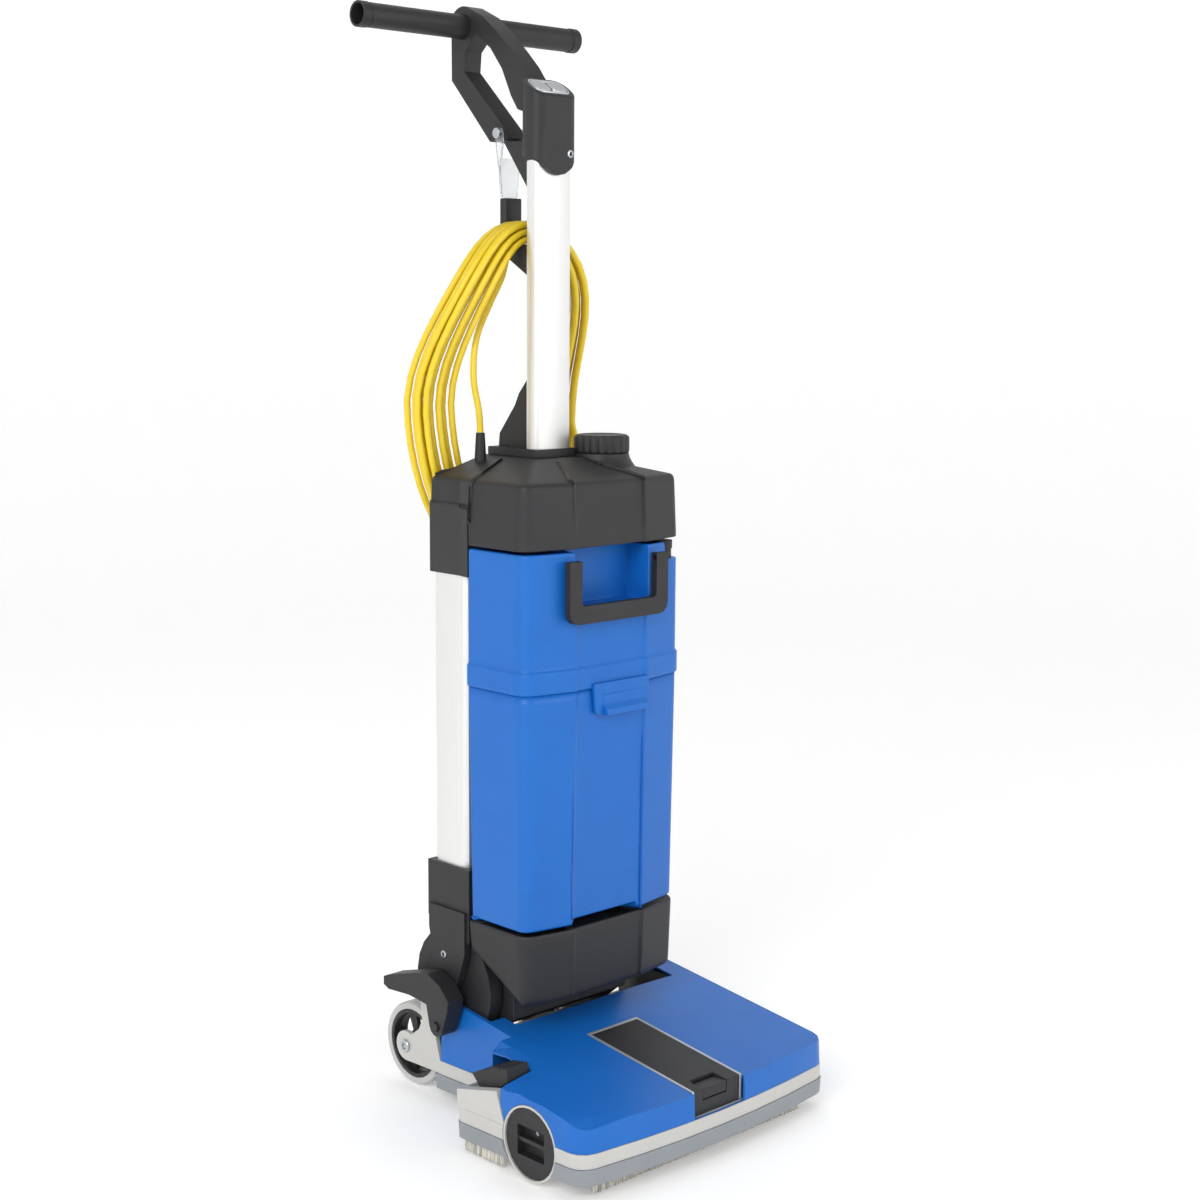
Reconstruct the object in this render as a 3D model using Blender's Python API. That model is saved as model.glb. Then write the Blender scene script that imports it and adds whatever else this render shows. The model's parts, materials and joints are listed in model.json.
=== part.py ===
"""Upright floor scrubber-dryer with a cylindrical brush: chassis, reclining upright, tanks, mast and cord.

Metres, +Z up. The machine's front looks along -Y and it stands on its two rear wheels and its brush.
The origin is on the floor, midway between the sides, near the middle of the machine's length.
"""

import math

import bmesh
import bpy
from mathutils import Matrix, Vector
from mathutils.geometry import tessellate_polygon

GAP = 0.0003                  # standard clearance between neighbours

# Driving dimensions
CHASSIS_HALF = 0.178          # half width of the front of the chassis
REAR_HALF = 0.110             # half width of the chassis beside the wheels, and of the upright
FRONT_Y = -0.194              # front corners of the chassis, the middle bows out further
STEP_Y = -0.010               # where the left brush housing ends
CHASSIS_REAR_Y = 0.1065
SKIRT_Z = (0.019, 0.0357)     # dark bumper skirt
BAND_Z = (0.036, 0.0505)      # light chassis band
FALL = 0.02                   # the bands drop this much per metre towards the rear
DECK_FRONT_Z = 0.078
DECK_RISE = 0.129             # slope of the deck's top
DECK_CREASE_LEFT, DECK_CREASE_RIGHT = -0.122, 0.095
DECK_WALL = 0.0022
BRUSH_Y, BRUSH_Z = -0.118, 0.0405
BRUSH_R = 0.0405
WHEEL_Y, WHEEL_R = 0.156, 0.0455
WHEEL_X = 0.0905              # middle of each wheel
PIVOT_Y, PIVOT_Z = 0.088, 0.130
DRUM_R = 0.060
TANK_Z = (0.2135, 0.4565)     # lower, solution tank
UPPER_Z = (0.457, 0.597)      # upper, recovery tank
COVER_Z = 0.600               # lower edge of the top cover
COLUMN_Y = (0.062, 0.116)
COLUMN_HALF = 0.103
MAST_Y, MAST_HALF_X, MAST_HALF_Y, MAST_R = 0.051, 0.025, 0.0098, 0.007
MAST_TOP = 1.040
BAR_Y, BAR_Z, BAR_R, BAR_HALF = 0.172, 1.125, 0.0124, 0.148
CORD_R = 0.0035
COIL_TOP, COIL_BOTTOM = 0.9150, 0.580


# ---------- scene and materials ----------

def clear_scene():
    for obj in list(bpy.data.objects):
        bpy.data.objects.remove(obj)


def material(name, rgb, roughness, metallic=0.0):
    mat = bpy.data.materials.get(name)
    if mat is None:
        mat = bpy.data.materials.new(name)
        mat.use_nodes = True
        bsdf = mat.node_tree.nodes["Principled BSDF"]
        bsdf.inputs["Base Color"].default_value = (*rgb, 1)
        bsdf.inputs["Roughness"].default_value = roughness
        bsdf.inputs["Metallic"].default_value = metallic
        mat.diffuse_color = (*rgb, 1)
    return mat


def blue():
    return material("blue_plastic", (0.014, 0.15, 0.51), 0.38)


def black():
    return material("black_plastic", (0.035, 0.035, 0.038), 0.5)


def light_grey():
    return material("light_grey_plastic", (0.51, 0.50, 0.47), 0.42)


def mid_grey():
    return material("mid_grey_plastic", (0.33, 0.36, 0.38), 0.45)


def aluminium():
    return material("anodised_aluminium", (0.78, 0.78, 0.77), 0.32, 1.0)


def steel():
    return material("zinc_plated_steel", (0.62, 0.62, 0.62), 0.3, 1.0)


def rubber():
    return material("black_rubber", (0.02, 0.02, 0.02), 0.75)


def grey_tyre():
    return material("grey_rubber", (0.56, 0.56, 0.55), 0.6)


def yellow():
    return material("yellow_pvc", (0.79, 0.58, 0.03), 0.42)


def nylon():
    return material("nylon_bristle", (0.62, 0.62, 0.60), 0.6)


def silver():
    return material("silver_trim", (0.70, 0.70, 0.70), 0.25, 0.9)


def clear():
    return material("clear_plastic", (0.80, 0.82, 0.84), 0.15)


# ---------- mesh helpers ----------

def finish(name, mesh_data, mat, origin=(0, 0, 0), smooth=30):
    """Makes the object from a bmesh, faces outwards, with its origin where a joint's axis is."""
    bmesh.ops.recalc_face_normals(mesh_data, faces=mesh_data.faces)
    if mesh_data.calc_volume(signed=True) < 0:
        bmesh.ops.reverse_faces(mesh_data, faces=mesh_data.faces)
    bmesh.ops.translate(mesh_data, verts=mesh_data.verts, vec=-Vector(origin))
    mesh = bpy.data.meshes.new(name)
    mesh_data.to_mesh(mesh)
    mesh_data.free()
    mesh.shade_smooth()
    mesh.set_sharp_from_angle(angle=math.radians(smooth))
    obj = bpy.data.objects.new(name, mesh)
    obj.location = origin
    obj.data.materials.append(mat)
    bpy.context.scene.collection.objects.link(obj)
    return obj


def loft_mesh(rings):
    """Closed bmesh through rings of equally many points, capped at both ends."""
    bm = bmesh.new()
    loops = [[bm.verts.new(p) for p in ring] for ring in rings]
    for low, high in zip(loops, loops[1:]):
        for i in range(len(low)):
            j = (i + 1) % len(low)
            bm.faces.new((low[i], low[j], high[j], high[i]))
    bm.faces.new(list(reversed(loops[0])))
    bm.faces.new(loops[-1])
    return bm


def loft(name, rings, mat, origin=(0, 0, 0), smooth=30):
    return finish(name, loft_mesh(rings), mat, origin, smooth)


def flat_rings(shape, levels):
    """Rings of a plan shape at each (z, inset)."""
    return [[(x, y, z) for x, y in outline_at(shape, d)] for z, d in levels]


def swing(axis, p, q, a):
    """A 3-D point from two in-plane coordinates and one along the axis."""
    return {"X": (a, p, q), "Y": (p, a, q), "Z": (p, q, a)}[axis]


def plate(name, outer, axis, span, mat, holes=(), origin=(0, 0, 0), smooth=30):
    """A flat outline with holes, pushed out along an axis over a span."""
    loops = [list(outer)] + [list(h) for h in holes]
    points = [p for loop in loops for p in loop]
    triangles = tessellate_polygon([[Vector((p, q, 0)) for p, q in loop] for loop in loops])
    bm = bmesh.new()
    low = [bm.verts.new(swing(axis, p, q, span[0])) for p, q in points]
    high = [bm.verts.new(swing(axis, p, q, span[1])) for p, q in points]
    for a, b, c in triangles:
        bm.faces.new((low[a], low[b], low[c]))
        bm.faces.new((high[c], high[b], high[a]))
    start = 0
    for loop in loops:
        for i in range(len(loop)):
            j = start + (i + 1) % len(loop)
            i = start + i
            bm.faces.new((low[i], low[j], high[j], high[i]))
        start += len(loop)
    return finish(name, bm, mat, origin, smooth)


def box(name, x, y, z, mat, origin=(0, 0, 0)):
    outline = [(x[0], y[0]), (x[1], y[0]), (x[1], y[1]), (x[0], y[1])]
    return plate(name, outline, "Z", z, mat, origin=origin)


def turned(name, profile, axis, centre, mat, steps=32, smooth=30):
    """A closed (radius, along) profile turned about an axis through a centre."""
    bm = bmesh.new()
    rings = []
    for k in range(steps):
        a = 2 * math.pi * k / steps
        ring = []
        for r, t in profile:
            p, q = r * math.cos(a), r * math.sin(a)
            x, y, z = swing(axis, p, q, t)
            ring.append(bm.verts.new((x + centre[0], y + centre[1], z + centre[2])))
        rings.append(ring)
    n = len(profile)
    for k in range(steps):
        near, far = rings[k], rings[(k + 1) % steps]
        for i in range(n):
            j = (i + 1) % n
            if profile[i][0] or profile[j][0]:
                bm.faces.new((near[i], near[j], far[j], far[i]))
    bmesh.ops.remove_doubles(bm, verts=bm.verts, dist=1e-6)
    return finish(name, bm, mat, centre, smooth)


def disc(name, radius, axis, span, centre, mat, steps=32, hole=0.0):
    """A cylinder, or a ring where it has a hole, along an axis."""
    profile = [(hole, span[0]), (radius, span[0]), (radius, span[1]), (hole, span[1])]
    return turned(name, profile, axis, centre, mat, steps)


def as_cutter(obj):
    obj.hide_render = True
    obj.display_type = "WIRE"
    return obj


def combine(obj, other, operation):
    mod = obj.modifiers.new(operation.lower() + "_" + other.name, "BOOLEAN")
    mod.operation = operation
    mod.solver = "EXACT"
    mod.object = as_cutter(other)
    return obj


def cut(obj, *others):
    for other in others:
        combine(obj, other, "DIFFERENCE")
    return obj


def join(obj, *others):
    for other in others:
        combine(obj, other, "UNION")
    return obj


def arc(centre, radius, start, end, steps):
    """Points on an arc, angles in degrees."""
    out = []
    for k in range(steps + 1):
        a = math.radians(start + (end - start) * k / steps)
        out.append((centre[0] + radius * math.cos(a), centre[1] + radius * math.sin(a)))
    return out


def circle(centre, radius, steps=24, start=0):
    return arc(centre, radius, start, start + 360, steps)[:-1]


def rounded(points, radii, steps=3):
    """A polygon with its corners rounded, each by its own radius."""
    out = []
    n = len(points)
    if not hasattr(radii, "__len__"):
        radii = [radii] * n
    for i in range(n):
        here = Vector(points[i])
        before = (Vector(points[i - 1]) - here).normalized()
        after = (Vector(points[(i + 1) % n]) - here).normalized()
        if radii[i] <= 0:
            out.append(tuple(here))
            continue
        half = before.angle(after) / 2
        reach = radii[i] / math.tan(half)
        a, b = here + before * reach, here + after * reach
        middle = here + (before + after).normalized() * (radii[i] / math.sin(half))
        start, end = (a - middle).normalized(), (b - middle).normalized()
        for k in range(steps + 1):
            out.append(tuple(middle + start.slerp(end, k / steps) * radii[i]))
    return out


def inset(outline, distance):
    """The outline moved inwards by a distance, each corner along its mitre. Anticlockwise outlines shrink."""
    if distance == 0:
        return list(outline)
    out = []
    n = len(outline)
    for i in range(n):
        here = Vector(outline[i])
        before = (here - Vector(outline[i - 1])).normalized()
        after = (Vector(outline[(i + 1) % n]) - here).normalized()
        left_before = Vector((-before.y, before.x))
        left_after = Vector((-after.y, after.x))
        mitre = (left_before + left_after).normalized()
        out.append(tuple(here + mitre * (distance / max(mitre.dot(left_after), 0.4))))
    return out


def outline_at(shape, distance=0.0):
    """A shape's outline moved inwards. A shape is its corners and their radii, which shrink with it."""
    corners, radii = shape
    moved = inset(corners, distance)
    kept = []
    for i, radius in enumerate(radii):
        before = Vector(corners[i]) - Vector(corners[i - 1])
        after = Vector(corners[(i + 1) % len(corners)]) - Vector(corners[i])
        turn = 1 if before.x * after.y - before.y * after.x > 0 else -1
        kept.append(max(radius - turn * distance, 0.0006) if radius else 0)
    return rounded(moved, kept, 3)


def rectangle(x, y, radius=0.0, steps=3):
    corners = [(x[0], y[0]), (x[1], y[0]), (x[1], y[1]), (x[0], y[1])]
    return rounded(corners, radius, steps) if radius else corners


# ---------- outlines that several parts share ----------

def chassis_shape():
    """Plan of the chassis: a wide bowed front, stepping in to a narrow rear between the wheels."""
    front = [(x, FRONT_Y - 0.0115 * (1 - (x / 0.160) ** 2)) for x in (-0.105, -0.053, 0.0, 0.053, 0.105)]
    corners = (
        [(-CHASSIS_HALF, FRONT_Y + 0.002)] + front + [(CHASSIS_HALF, FRONT_Y + 0.002)]
        + [(CHASSIS_HALF, 0.062), (REAR_HALF, 0.062), (REAR_HALF, CHASSIS_REAR_Y)]
        + [(-REAR_HALF, CHASSIS_REAR_Y), (-REAR_HALF, STEP_Y), (-CHASSIS_HALF, STEP_Y)]
    )
    radii = [0.020] + [0] * len(front) + [0.020, 0.012, 0, 0.004, 0.004, 0, 0.008]
    return corners, radii


def body_shape(rear_y, half=REAR_HALF, front_y=-0.047):
    """Plan of the tanks: a flat middle panel between two facets, and rounded front corners."""
    corners = [
        (-half, rear_y), (-half, front_y + 0.012), (-0.049, front_y), (0.049, front_y),
        (half, front_y + 0.012), (half, rear_y),
    ]
    return corners, [0.003, 0.016, 0, 0, 0.016, 0.003]


def cover_shape():
    """Plan of the top cover: the tanks' front, narrowing behind to wrap the column."""
    half = REAR_HALF + 0.001
    corners = [
        (-0.106, 0.119), (-0.106, 0.070), (-half, 0.047), (-half, -0.034), (-0.049, -0.046),
        (0.049, -0.046), (half, -0.034), (half, 0.047), (0.106, 0.070), (0.106, 0.119),
    ]
    return corners, [0.006, 0, 0, 0.016, 0, 0, 0.016, 0, 0, 0.006]


def mast_section(grow=0.0):
    x, y = MAST_HALF_X + grow, MAST_HALF_Y + grow
    return rectangle((-x, x), (MAST_Y - y, MAST_Y + y), MAST_R + grow, 3)


def deck_z(y):
    """Height of the deck's top surface at a distance along the machine."""
    return DECK_FRONT_Z + DECK_RISE * (y + 0.190)


def lowered(rings, fall=FALL):
    """Shears rings down towards the rear, as the chassis bands run."""
    return [[(x, y, z - fall * (y - FRONT_Y)) for x, y, z in ring] for ring in rings]


# ---------- chassis ----------

def brush_opening(z):
    """The brush's well, which runs out through the left end of the chassis."""
    return box("brush_opening", (-0.164, 0.1715), (-0.1625, -0.0735), z, black())


def end_port(radius, x):
    """Cutter for the round port that the brush is drawn out through."""
    return disc("end_port", radius, "X", x, (0, BRUSH_Y, BRUSH_Z), black(), 28)


def chassis_tray():
    """Light band with a floor plate inside it, carrying both wheel forks."""
    shape = chassis_shape()
    tray = loft("chassis_tray", lowered(flat_rings(shape, [(BAND_Z[0], 0), (BAND_Z[1], 0)])), light_grey())
    hollow = lowered(flat_rings(shape, [(0.030, 0.003), (0.0472, 0.003)]))
    cut(tray, as_cutter(loft("tray_hollow", hollow, black())), brush_opening((0.0, 0.1)))
    cut(tray, box("tray_pivot_well", (-0.082, 0.082), (0.008, 0.0995), (0.0, 0.1), black()))
    cut(tray, box("belt_opening", (0.1560, 0.1715), (-0.1600, -0.0300), (0.0, 0.1), black()))
    join(tray, side_block())
    cut(tray, box("lever_slot", (-0.1666, -0.1300), (-0.0750, -0.0140), (0.0620, 0.1), black()))
    join(tray, disc("lever_pin", 0.0025, "X", (-0.1700, -0.1345), (0, LEVER_Y, LEVER_Z), black(), 10))
    cut(tray, end_port(0.0385, (-0.2, -0.150)))
    cut(tray, disc("brush_clearance", 0.0414, "X", (-0.1560, 0.1560), (0, BRUSH_Y, BRUSH_Z), black(), 28))
    for side, name in ((-1, "left"), (1, "right")):
        join(tray, fork("fork_" + name, sorted((side * REAR_HALF, side * (REAR_HALF - 0.005)))))
    return tray


def side_block():
    """Light end of the left brush housing, behind its port, with a sloping top."""
    outline = [(STEP_Y - 0.0004, 0.0458), (STEP_Y - 0.0004, 0.0650), (-0.0700, 0.0800), (-0.0826, 0.0458)]
    return plate("side_block", outline, "X", (-0.1774, -0.1340), light_grey())


def side_block_seat():
    """Cutter that clears the deck around the light block and above it, where the lever stands."""
    outline = [(0.0016, 0.03), (0.0016, 0.2), (-0.0750, 0.2), (-0.0750, 0.0700), (-0.0830, 0.0500), (-0.0830, 0.03)]
    return plate("side_block_seat", outline, "X", (-0.2, -0.1336), light_grey())


def fork(name, span):
    """Arm beside a wheel with the axle's boss, and the upright strip that closes the deck's side."""
    boss = arc((WHEEL_Y, WHEEL_R), 0.0165, 120, -85, 10)
    arm = [(0.0980, 0.0312), (0.0980, 0.0440), (0.117, 0.110), (0.133, 0.112), (0.128, 0.082), (0.134, 0.070)]
    return plate(name, arm + boss, "X", span, light_grey(), holes=[circle((WHEEL_Y, WHEEL_R), 0.0053, 12)])


def skirt_bumper():
    """Dark ring under the light band, open at the brush's end port."""
    shape = chassis_shape()
    levels = [(SKIRT_Z[0], -0.0002), (SKIRT_Z[1], -0.0012)]
    skirt = loft("skirt_bumper", lowered(flat_rings(shape, levels)), mid_grey())
    hollow = lowered(flat_rings(shape, [(0.0, 0.0030), (0.06, 0.0030)]))
    cut(skirt, as_cutter(loft("skirt_hollow", hollow, black())))
    return cut(skirt, end_port(0.0385, (-0.2, -0.150)))


def left_edge_z(y):
    """Height of the left brush housing's outer edge, which arches over the brush's port."""
    return 0.0855 - 2.0 * (min(y, -0.050) + 0.112) ** 2


def deck_roof(name, drop):
    """Everything under the deck's top: a plateau rising rearward, a steep left shoulder and a slight right one."""
    rings = []
    for y in (-0.215, -0.185, -0.160, -0.135, -0.110, -0.085, -0.060, -0.030, 0.15):
        top, edge = deck_z(y), left_edge_z(y)
        shoulder = (top - edge) / (DECK_CREASE_LEFT + 0.1725)
        section = [(-0.20, edge - 0.0275 * shoulder), (DECK_CREASE_LEFT, top), (DECK_CREASE_RIGHT, top),
                   (0.20, top - 0.02 * (0.20 - DECK_CREASE_RIGHT))]
        rings.append([(0.20, y, -0.1), (-0.20, y, -0.1)] + [(x, y, z - drop) for x, z in section])
    solid = loft_mesh(rings)
    bmesh.ops.triangulate(solid, faces=solid.faces)
    return finish(name, solid, blue())


def deck_solid(name, shrink, low):
    """The deck cover's outer form, or its inner form when shrunk by the wall."""
    shape = chassis_shape()
    levels = [(low, 0.0005 + shrink), (0.0700, 0.0015 + shrink), (0.1500, 0.0055 + shrink)]
    rings = flat_rings(shape, levels)
    solid = loft(name, lowered(rings[:1]) + rings[1:], blue())
    return combine(solid, deck_roof(name + "_roof", shrink), "INTERSECT")


def deck_shell():
    """Blue cover over the chassis: sloped top, shoulders, the pivot slot and the duct's channel."""
    shell = deck_solid("deck_shell", 0.0, BAND_Z[1] + GAP)
    cut(shell, as_cutter(deck_solid("deck_hollow", DECK_WALL, 0.03)))
    cut(shell, box("deck_slot", (-0.0835, 0.148), (0.0055, 0.150), (0.06, 0.2), black()))
    cut(shell, box("drum_slot", (-0.1015, 0.1015), (0.0255, 0.150), (0.04, 0.2), black()))
    cut(shell, box("deck_back", (-0.120, 0.120), (0.0975, 0.150), (0.03, 0.2), black()))
    cut(shell, side_block_seat())
    slot = [(-0.22, DUCT_FOOT_Z), (-0.1975, DUCT_FOOT_Z), (-0.1975, deck_z(-0.2) - 0.010),
            (-0.0497, deck_z(-0.0497) - 0.010), (-0.0497, 0.14), (-0.22, 0.12)]
    cut(shell, plate("duct_slot", slot, "X", (-0.0363, 0.0363), black()))
    cut(shell, disc("pedal_pin_hole", 0.0056, "X", (-0.2, -0.09), (0, PEDAL_Y, PEDAL_Z), black(), 12))
    return cut(shell, end_port(0.0384, (-0.2, -0.140)))


DUCT_FOOT_Z = 0.0512          # where the duct's front ends, on the chassis band


def duct_form(name, half, depth, y, mat, raised):
    """An L-shaped length over the deck's top and down its front, thinner than it is long by depth."""
    front, back = y
    outline = [(front, DUCT_FOOT_Z), (front + depth, DUCT_FOOT_Z), (front + depth, deck_z(front) - depth),
               (back, deck_z(back) - depth), (back, deck_z(back) + raised), (front, deck_z(front) + raised)]
    return plate(name, outline, "X", (-half, half), mat)


def duct_trim():
    """Silver frame around the duct cover, over the top and down the front."""
    y = (-0.1995, -0.0500)
    trim = duct_form("duct_trim", 0.0360, 0.0038, y, silver(), 0.0008)
    inner = box("trim_window", (-0.0332, 0.0332), (-0.25, -0.0530), (0.0, 0.2), black())
    return cut(trim, inner)


def duct_cover():
    """Black cover over the front of the deck, with the latch's pocket at its front edge."""
    cover = duct_form("duct_cover", 0.0329, 0.0036, (-0.1992, -0.0534), black(), 0.0004)
    return cut(cover, box("latch_pocket", (-0.0203, 0.0143), (-0.21, -0.1795), (0.0650, 0.1), black()))


def duct_latch():
    """Finger latch that holds the duct cover, turning about its lower edge."""
    outline = [(-0.1988, 0.0660), (-0.1950, 0.0660), (-0.1950, 0.0725), (-0.1815, 0.0742), (-0.1815, 0.0762),
               (-0.1988, 0.0768)]
    return plate("duct_latch", outline, "X", (-0.0198, 0.0138), black(), origin=(0, -0.1968, 0.0680))


def brush_tunnel():
    """Arched guard over the brush, resting on the floor plate by its two feet."""
    outer = arc((BRUSH_Y, BRUSH_Z), 0.0420, 14, 166, 12)
    inner = arc((BRUSH_Y, BRUSH_Z), 0.0411, 166, 14, 12)
    foot_z = BAND_Z[1] + GAP
    outline = (
        [(BRUSH_Y + 0.050, foot_z - FALL * 0.12), (BRUSH_Y + 0.050, foot_z + 0.0012)] + outer
        + [(BRUSH_Y - 0.050, foot_z + 0.0012), (BRUSH_Y - 0.050, foot_z)] + inner
    )
    return plate("brush_tunnel", outline, "X", (-0.1330, 0.1545), mid_grey())


def end_cap_ring():
    """Light rim around the brush's port."""
    return disc("end_cap_ring", 0.0380, "X", (-0.1772, -0.1560), (0, BRUSH_Y, BRUSH_Z), light_grey(), 28, 0.0358)


def brush_end_cap():
    """Round cap that closes the port and carries the brush's end bearing, with a recess and a grip bar."""
    cap = disc("brush_end_cap", 0.0354, "X", (-0.1755, -0.1620), (0, BRUSH_Y, BRUSH_Z), black(), 28)
    pocket = box("cap_recess", (-0.19, -0.1655), (BRUSH_Y - 0.019, BRUSH_Y + 0.019),
                 (BRUSH_Z - 0.015, BRUSH_Z + 0.015), black())
    bar = box("cap_grip", (-0.1735, -0.1600), (BRUSH_Y - 0.022, BRUSH_Y + 0.022),
              (BRUSH_Z - 0.0022, BRUSH_Z + 0.0022), black())
    pin = disc("cap_pin", 0.0078, "X", (-0.1630, -0.1490), (0, BRUSH_Y, BRUSH_Z), black(), 16)
    return join(cut(cap, pocket), bar, pin)


def brush_core():
    """Tube that the bristles stand on, hollow at its left end for the cap's pin."""
    centre = (0, BRUSH_Y, BRUSH_Z)
    core = disc("brush_core", 0.0220, "X", (-0.1555, 0.1555), centre, black(), 24)
    return cut(core, disc("core_socket", 0.0082, "X", (-0.2, -0.140), centre, black(), 16),
               disc("core_drive", 0.0072, "X", (0.140, 0.2), centre, black(), 6))


def brush_bristles():
    return disc("brush_bristles", BRUSH_R, "X", (-0.1530, 0.1530), (0, BRUSH_Y, BRUSH_Z), nylon(), 32, 0.0223)


def brush_pulley():
    """Toothed pulley that turns the brush through its hexagonal drive."""
    centre = (0, BRUSH_Y, BRUSH_Z)
    pulley = disc("brush_pulley", 0.0255, "X", (0.1590, 0.1690), centre, black(), 24)
    return join(pulley, disc("pulley_drive", 0.0068, "X", (0.1415, 0.1600), centre, black(), 6))


MOTOR_Y, MOTOR_Z = -0.034, 0.0705


def motor_pulley():
    pulley = disc("motor_pulley", 0.0125, "X", (0.1590, 0.1690), (0, MOTOR_Y, MOTOR_Z), steel(), 20)
    return cut(pulley, disc("pulley_bore", 0.0043, "X", (0.15, 0.18), (0, MOTOR_Y, MOTOR_Z), black(), 12))


def brush_motor():
    """Motor can with its shaft, lying across the deck behind the brush."""
    centre = (0, MOTOR_Y, MOTOR_Z)
    motor = disc("brush_motor", 0.0180, "X", (0.050, 0.1500), centre, steel(), 24)
    return join(motor, disc("motor_shaft", 0.0040, "X", (0.149, 0.1690), centre, steel(), 12))


def drive_belt():
    """Belt around both pulleys: two arcs joined by their common tangents."""
    big, small = (BRUSH_Y, BRUSH_Z), (MOTOR_Y, MOTOR_Z)
    return plate("drive_belt", belt_line(big, 0.0285, small, 0.0155), "X", (0.1595, 0.1685), rubber(),
                 holes=[belt_line(big, 0.0258, small, 0.0128)])


def belt_line(big, big_r, small, small_r):
    run = Vector(small) - Vector(big)
    heading = math.degrees(math.atan2(run.y, run.x))
    spread = math.degrees(math.acos((big_r - small_r) / run.length))
    first = arc(small, small_r, heading - spread, heading + spread, 8)
    second = arc(big, big_r, heading + spread, heading + 360 - spread, 14)
    return first + second


def squeegee_holder():
    """Channel across the rear that carries the suction lips."""
    outline = [(0.064, 0.0245), (0.064, 0.0150), (0.0685, 0.0150), (0.0685, 0.0205), (0.0755, 0.0205),
               (0.0755, 0.0150), (0.080, 0.0150), (0.080, 0.0245)]
    return plate("squeegee_holder", outline, "X", (-0.104, 0.104), black())


def squeegee_blade():
    outline = [(0.0690, 0.0202), (0.0690, 0.0012), (0.0716, 0.0004), (0.0750, 0.0202)]
    return plate("squeegee_blade", outline, "X", (-0.103, 0.103), rubber())


def curtain_front():
    """Strip of stiff bristles behind the front skirt."""
    return plate("curtain_front", [(-0.1800, 0.0020), (-0.1760, 0.0020), (-0.1760, 0.0345), (-0.1800, 0.0345)],
                 "X", (-0.150, 0.150), nylon())


def curtain_left():
    """Bristle strip behind the left housing's skirt."""
    return box("curtain_left", (-0.1735, -0.1700), (-0.0755, -0.0185), (0.0020, 0.0345), nylon())


# ---------- wheels ----------

def wheel(side, name):
    """Light tyre on a black five-spoke hub, both turning on the axle."""
    x = WHEEL_X * side
    centre = (x, WHEEL_Y, WHEEL_R)
    tread = [(0.0378, -0.0100), (0.0440, -0.0100), (WHEEL_R, -0.0075), (WHEEL_R, 0.0075), (0.0440, 0.0100),
             (0.0378, 0.0100)]
    turned("wheel_tyre_" + name, tread, "X", centre, grey_tyre(), 36)
    rim = disc("wheel_hub_" + name, 0.0375, "X", (-0.0095, 0.0095), centre, black(), 30, 0.0335)
    boss = disc("hub_boss_" + name, 0.0110, "X", (-0.0095, 0.0095), centre, black(), 16, 0.0055)
    web = plate("hub_web_" + name, circle((WHEEL_Y, WHEEL_R), 0.0355, 20, 5), "X", (x - 0.0025, x + 0.0025), black(),
                holes=[circle((WHEEL_Y, WHEEL_R), 0.0080, 12, 7)] + [hub_window(k) for k in range(5)])
    return join(rim, web, boss)


def hub_window(k):
    """Outline of the opening between two of the hub's five spokes."""
    middle = 72 * k + 36
    outer = arc((WHEEL_Y, WHEEL_R), 0.0320, middle - 25, middle + 25, 4)
    return outer + arc((WHEEL_Y, WHEEL_R), 0.0140, middle + 18, middle - 18, 2)


def axle():
    return disc("axle", 0.0050, "X", (-0.1115, 0.1115), (0, WHEEL_Y, WHEEL_R), steel(), 16)


# ---------- pivot, pedal and lever ----------

PEDAL_Y, PEDAL_Z = 0.078, 0.0935


def pivot_bracket(side, name):
    """Round bracket that the upright turns on. The left one has the pedal's pin, below the upright's cheek."""
    span = sorted((side * 0.0835, side * 0.0995))
    foot_z = BAND_Z[1] + GAP - FALL * (0.040 - FRONT_Y)
    outline = [(0.0400, foot_z), (0.1040, foot_z - FALL * 0.064)] + arc((PIVOT_Y, PIVOT_Z), DRUM_R, -75, 238, 20)
    bracket = plate("pivot_bracket_" + name, outline, "X", span, black(),
                    holes=[circle((PIVOT_Y, PIVOT_Z), 0.0083, 16)])
    if side < 0:
        join(bracket, disc("pedal_pin", 0.0050, "X", (-0.1345, -0.0900), (0, PEDAL_Y, PEDAL_Z), black(), 12))
    return bracket


def pivot_shaft():
    return disc("pivot_shaft", 0.0080, "X", (-0.1105, 0.1105), (0, PIVOT_Y, PIVOT_Z), steel(), 20)


def recline_pedal():
    """Foot pedal at the left rear that frees the upright, with a broad ribbed tread."""
    hub = arc((PEDAL_Y, PEDAL_Z), 0.0110, 180, 350, 6)
    arm = [(0.094, 0.1135), (0.122, 0.1165), (0.158, 0.1140), (0.166, 0.1175), (0.166, 0.1265), (0.158, 0.1300),
           (0.112, 0.1435), (0.092, 0.1475), (0.072, 0.1390), (0.058, 0.1250), (0.060, 0.1120)]
    pedal = plate("recline_pedal", hub + arm, "X", (-0.1320, -0.1110), black(), origin=(-0.1215, PEDAL_Y, PEDAL_Z),
                  holes=[circle((PEDAL_Y, PEDAL_Z), 0.0053, 12)])
    return pedal


LEVER_X, LEVER_Y, LEVER_Z = -0.150, -0.040, 0.0685


def squeegee_lever():
    """Small ribbed lever on the left shoulder that lifts the suction lips."""
    ribs = []
    for k in range(4):
        y = -0.048 - 0.006 * k
        z = 0.0925 + 0.0012 * k
        ribs += [(y, z), (y - 0.0022, z + 0.0030), (y - 0.0042, z + 0.0030)]
    outline = [(-0.072, 0.0860), (-0.060, 0.0770), (-0.046, 0.0645), (-0.034, 0.0645), (-0.018, 0.0800),
               (-0.034, 0.0880)] + ribs
    return plate("squeegee_lever", outline, "X", (-0.1640, -0.1360), black(),
                 origin=(LEVER_X, LEVER_Y, LEVER_Z), holes=[circle((LEVER_Y, LEVER_Z), 0.0029, 10)])


# ---------- base of the upright ----------

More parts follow.
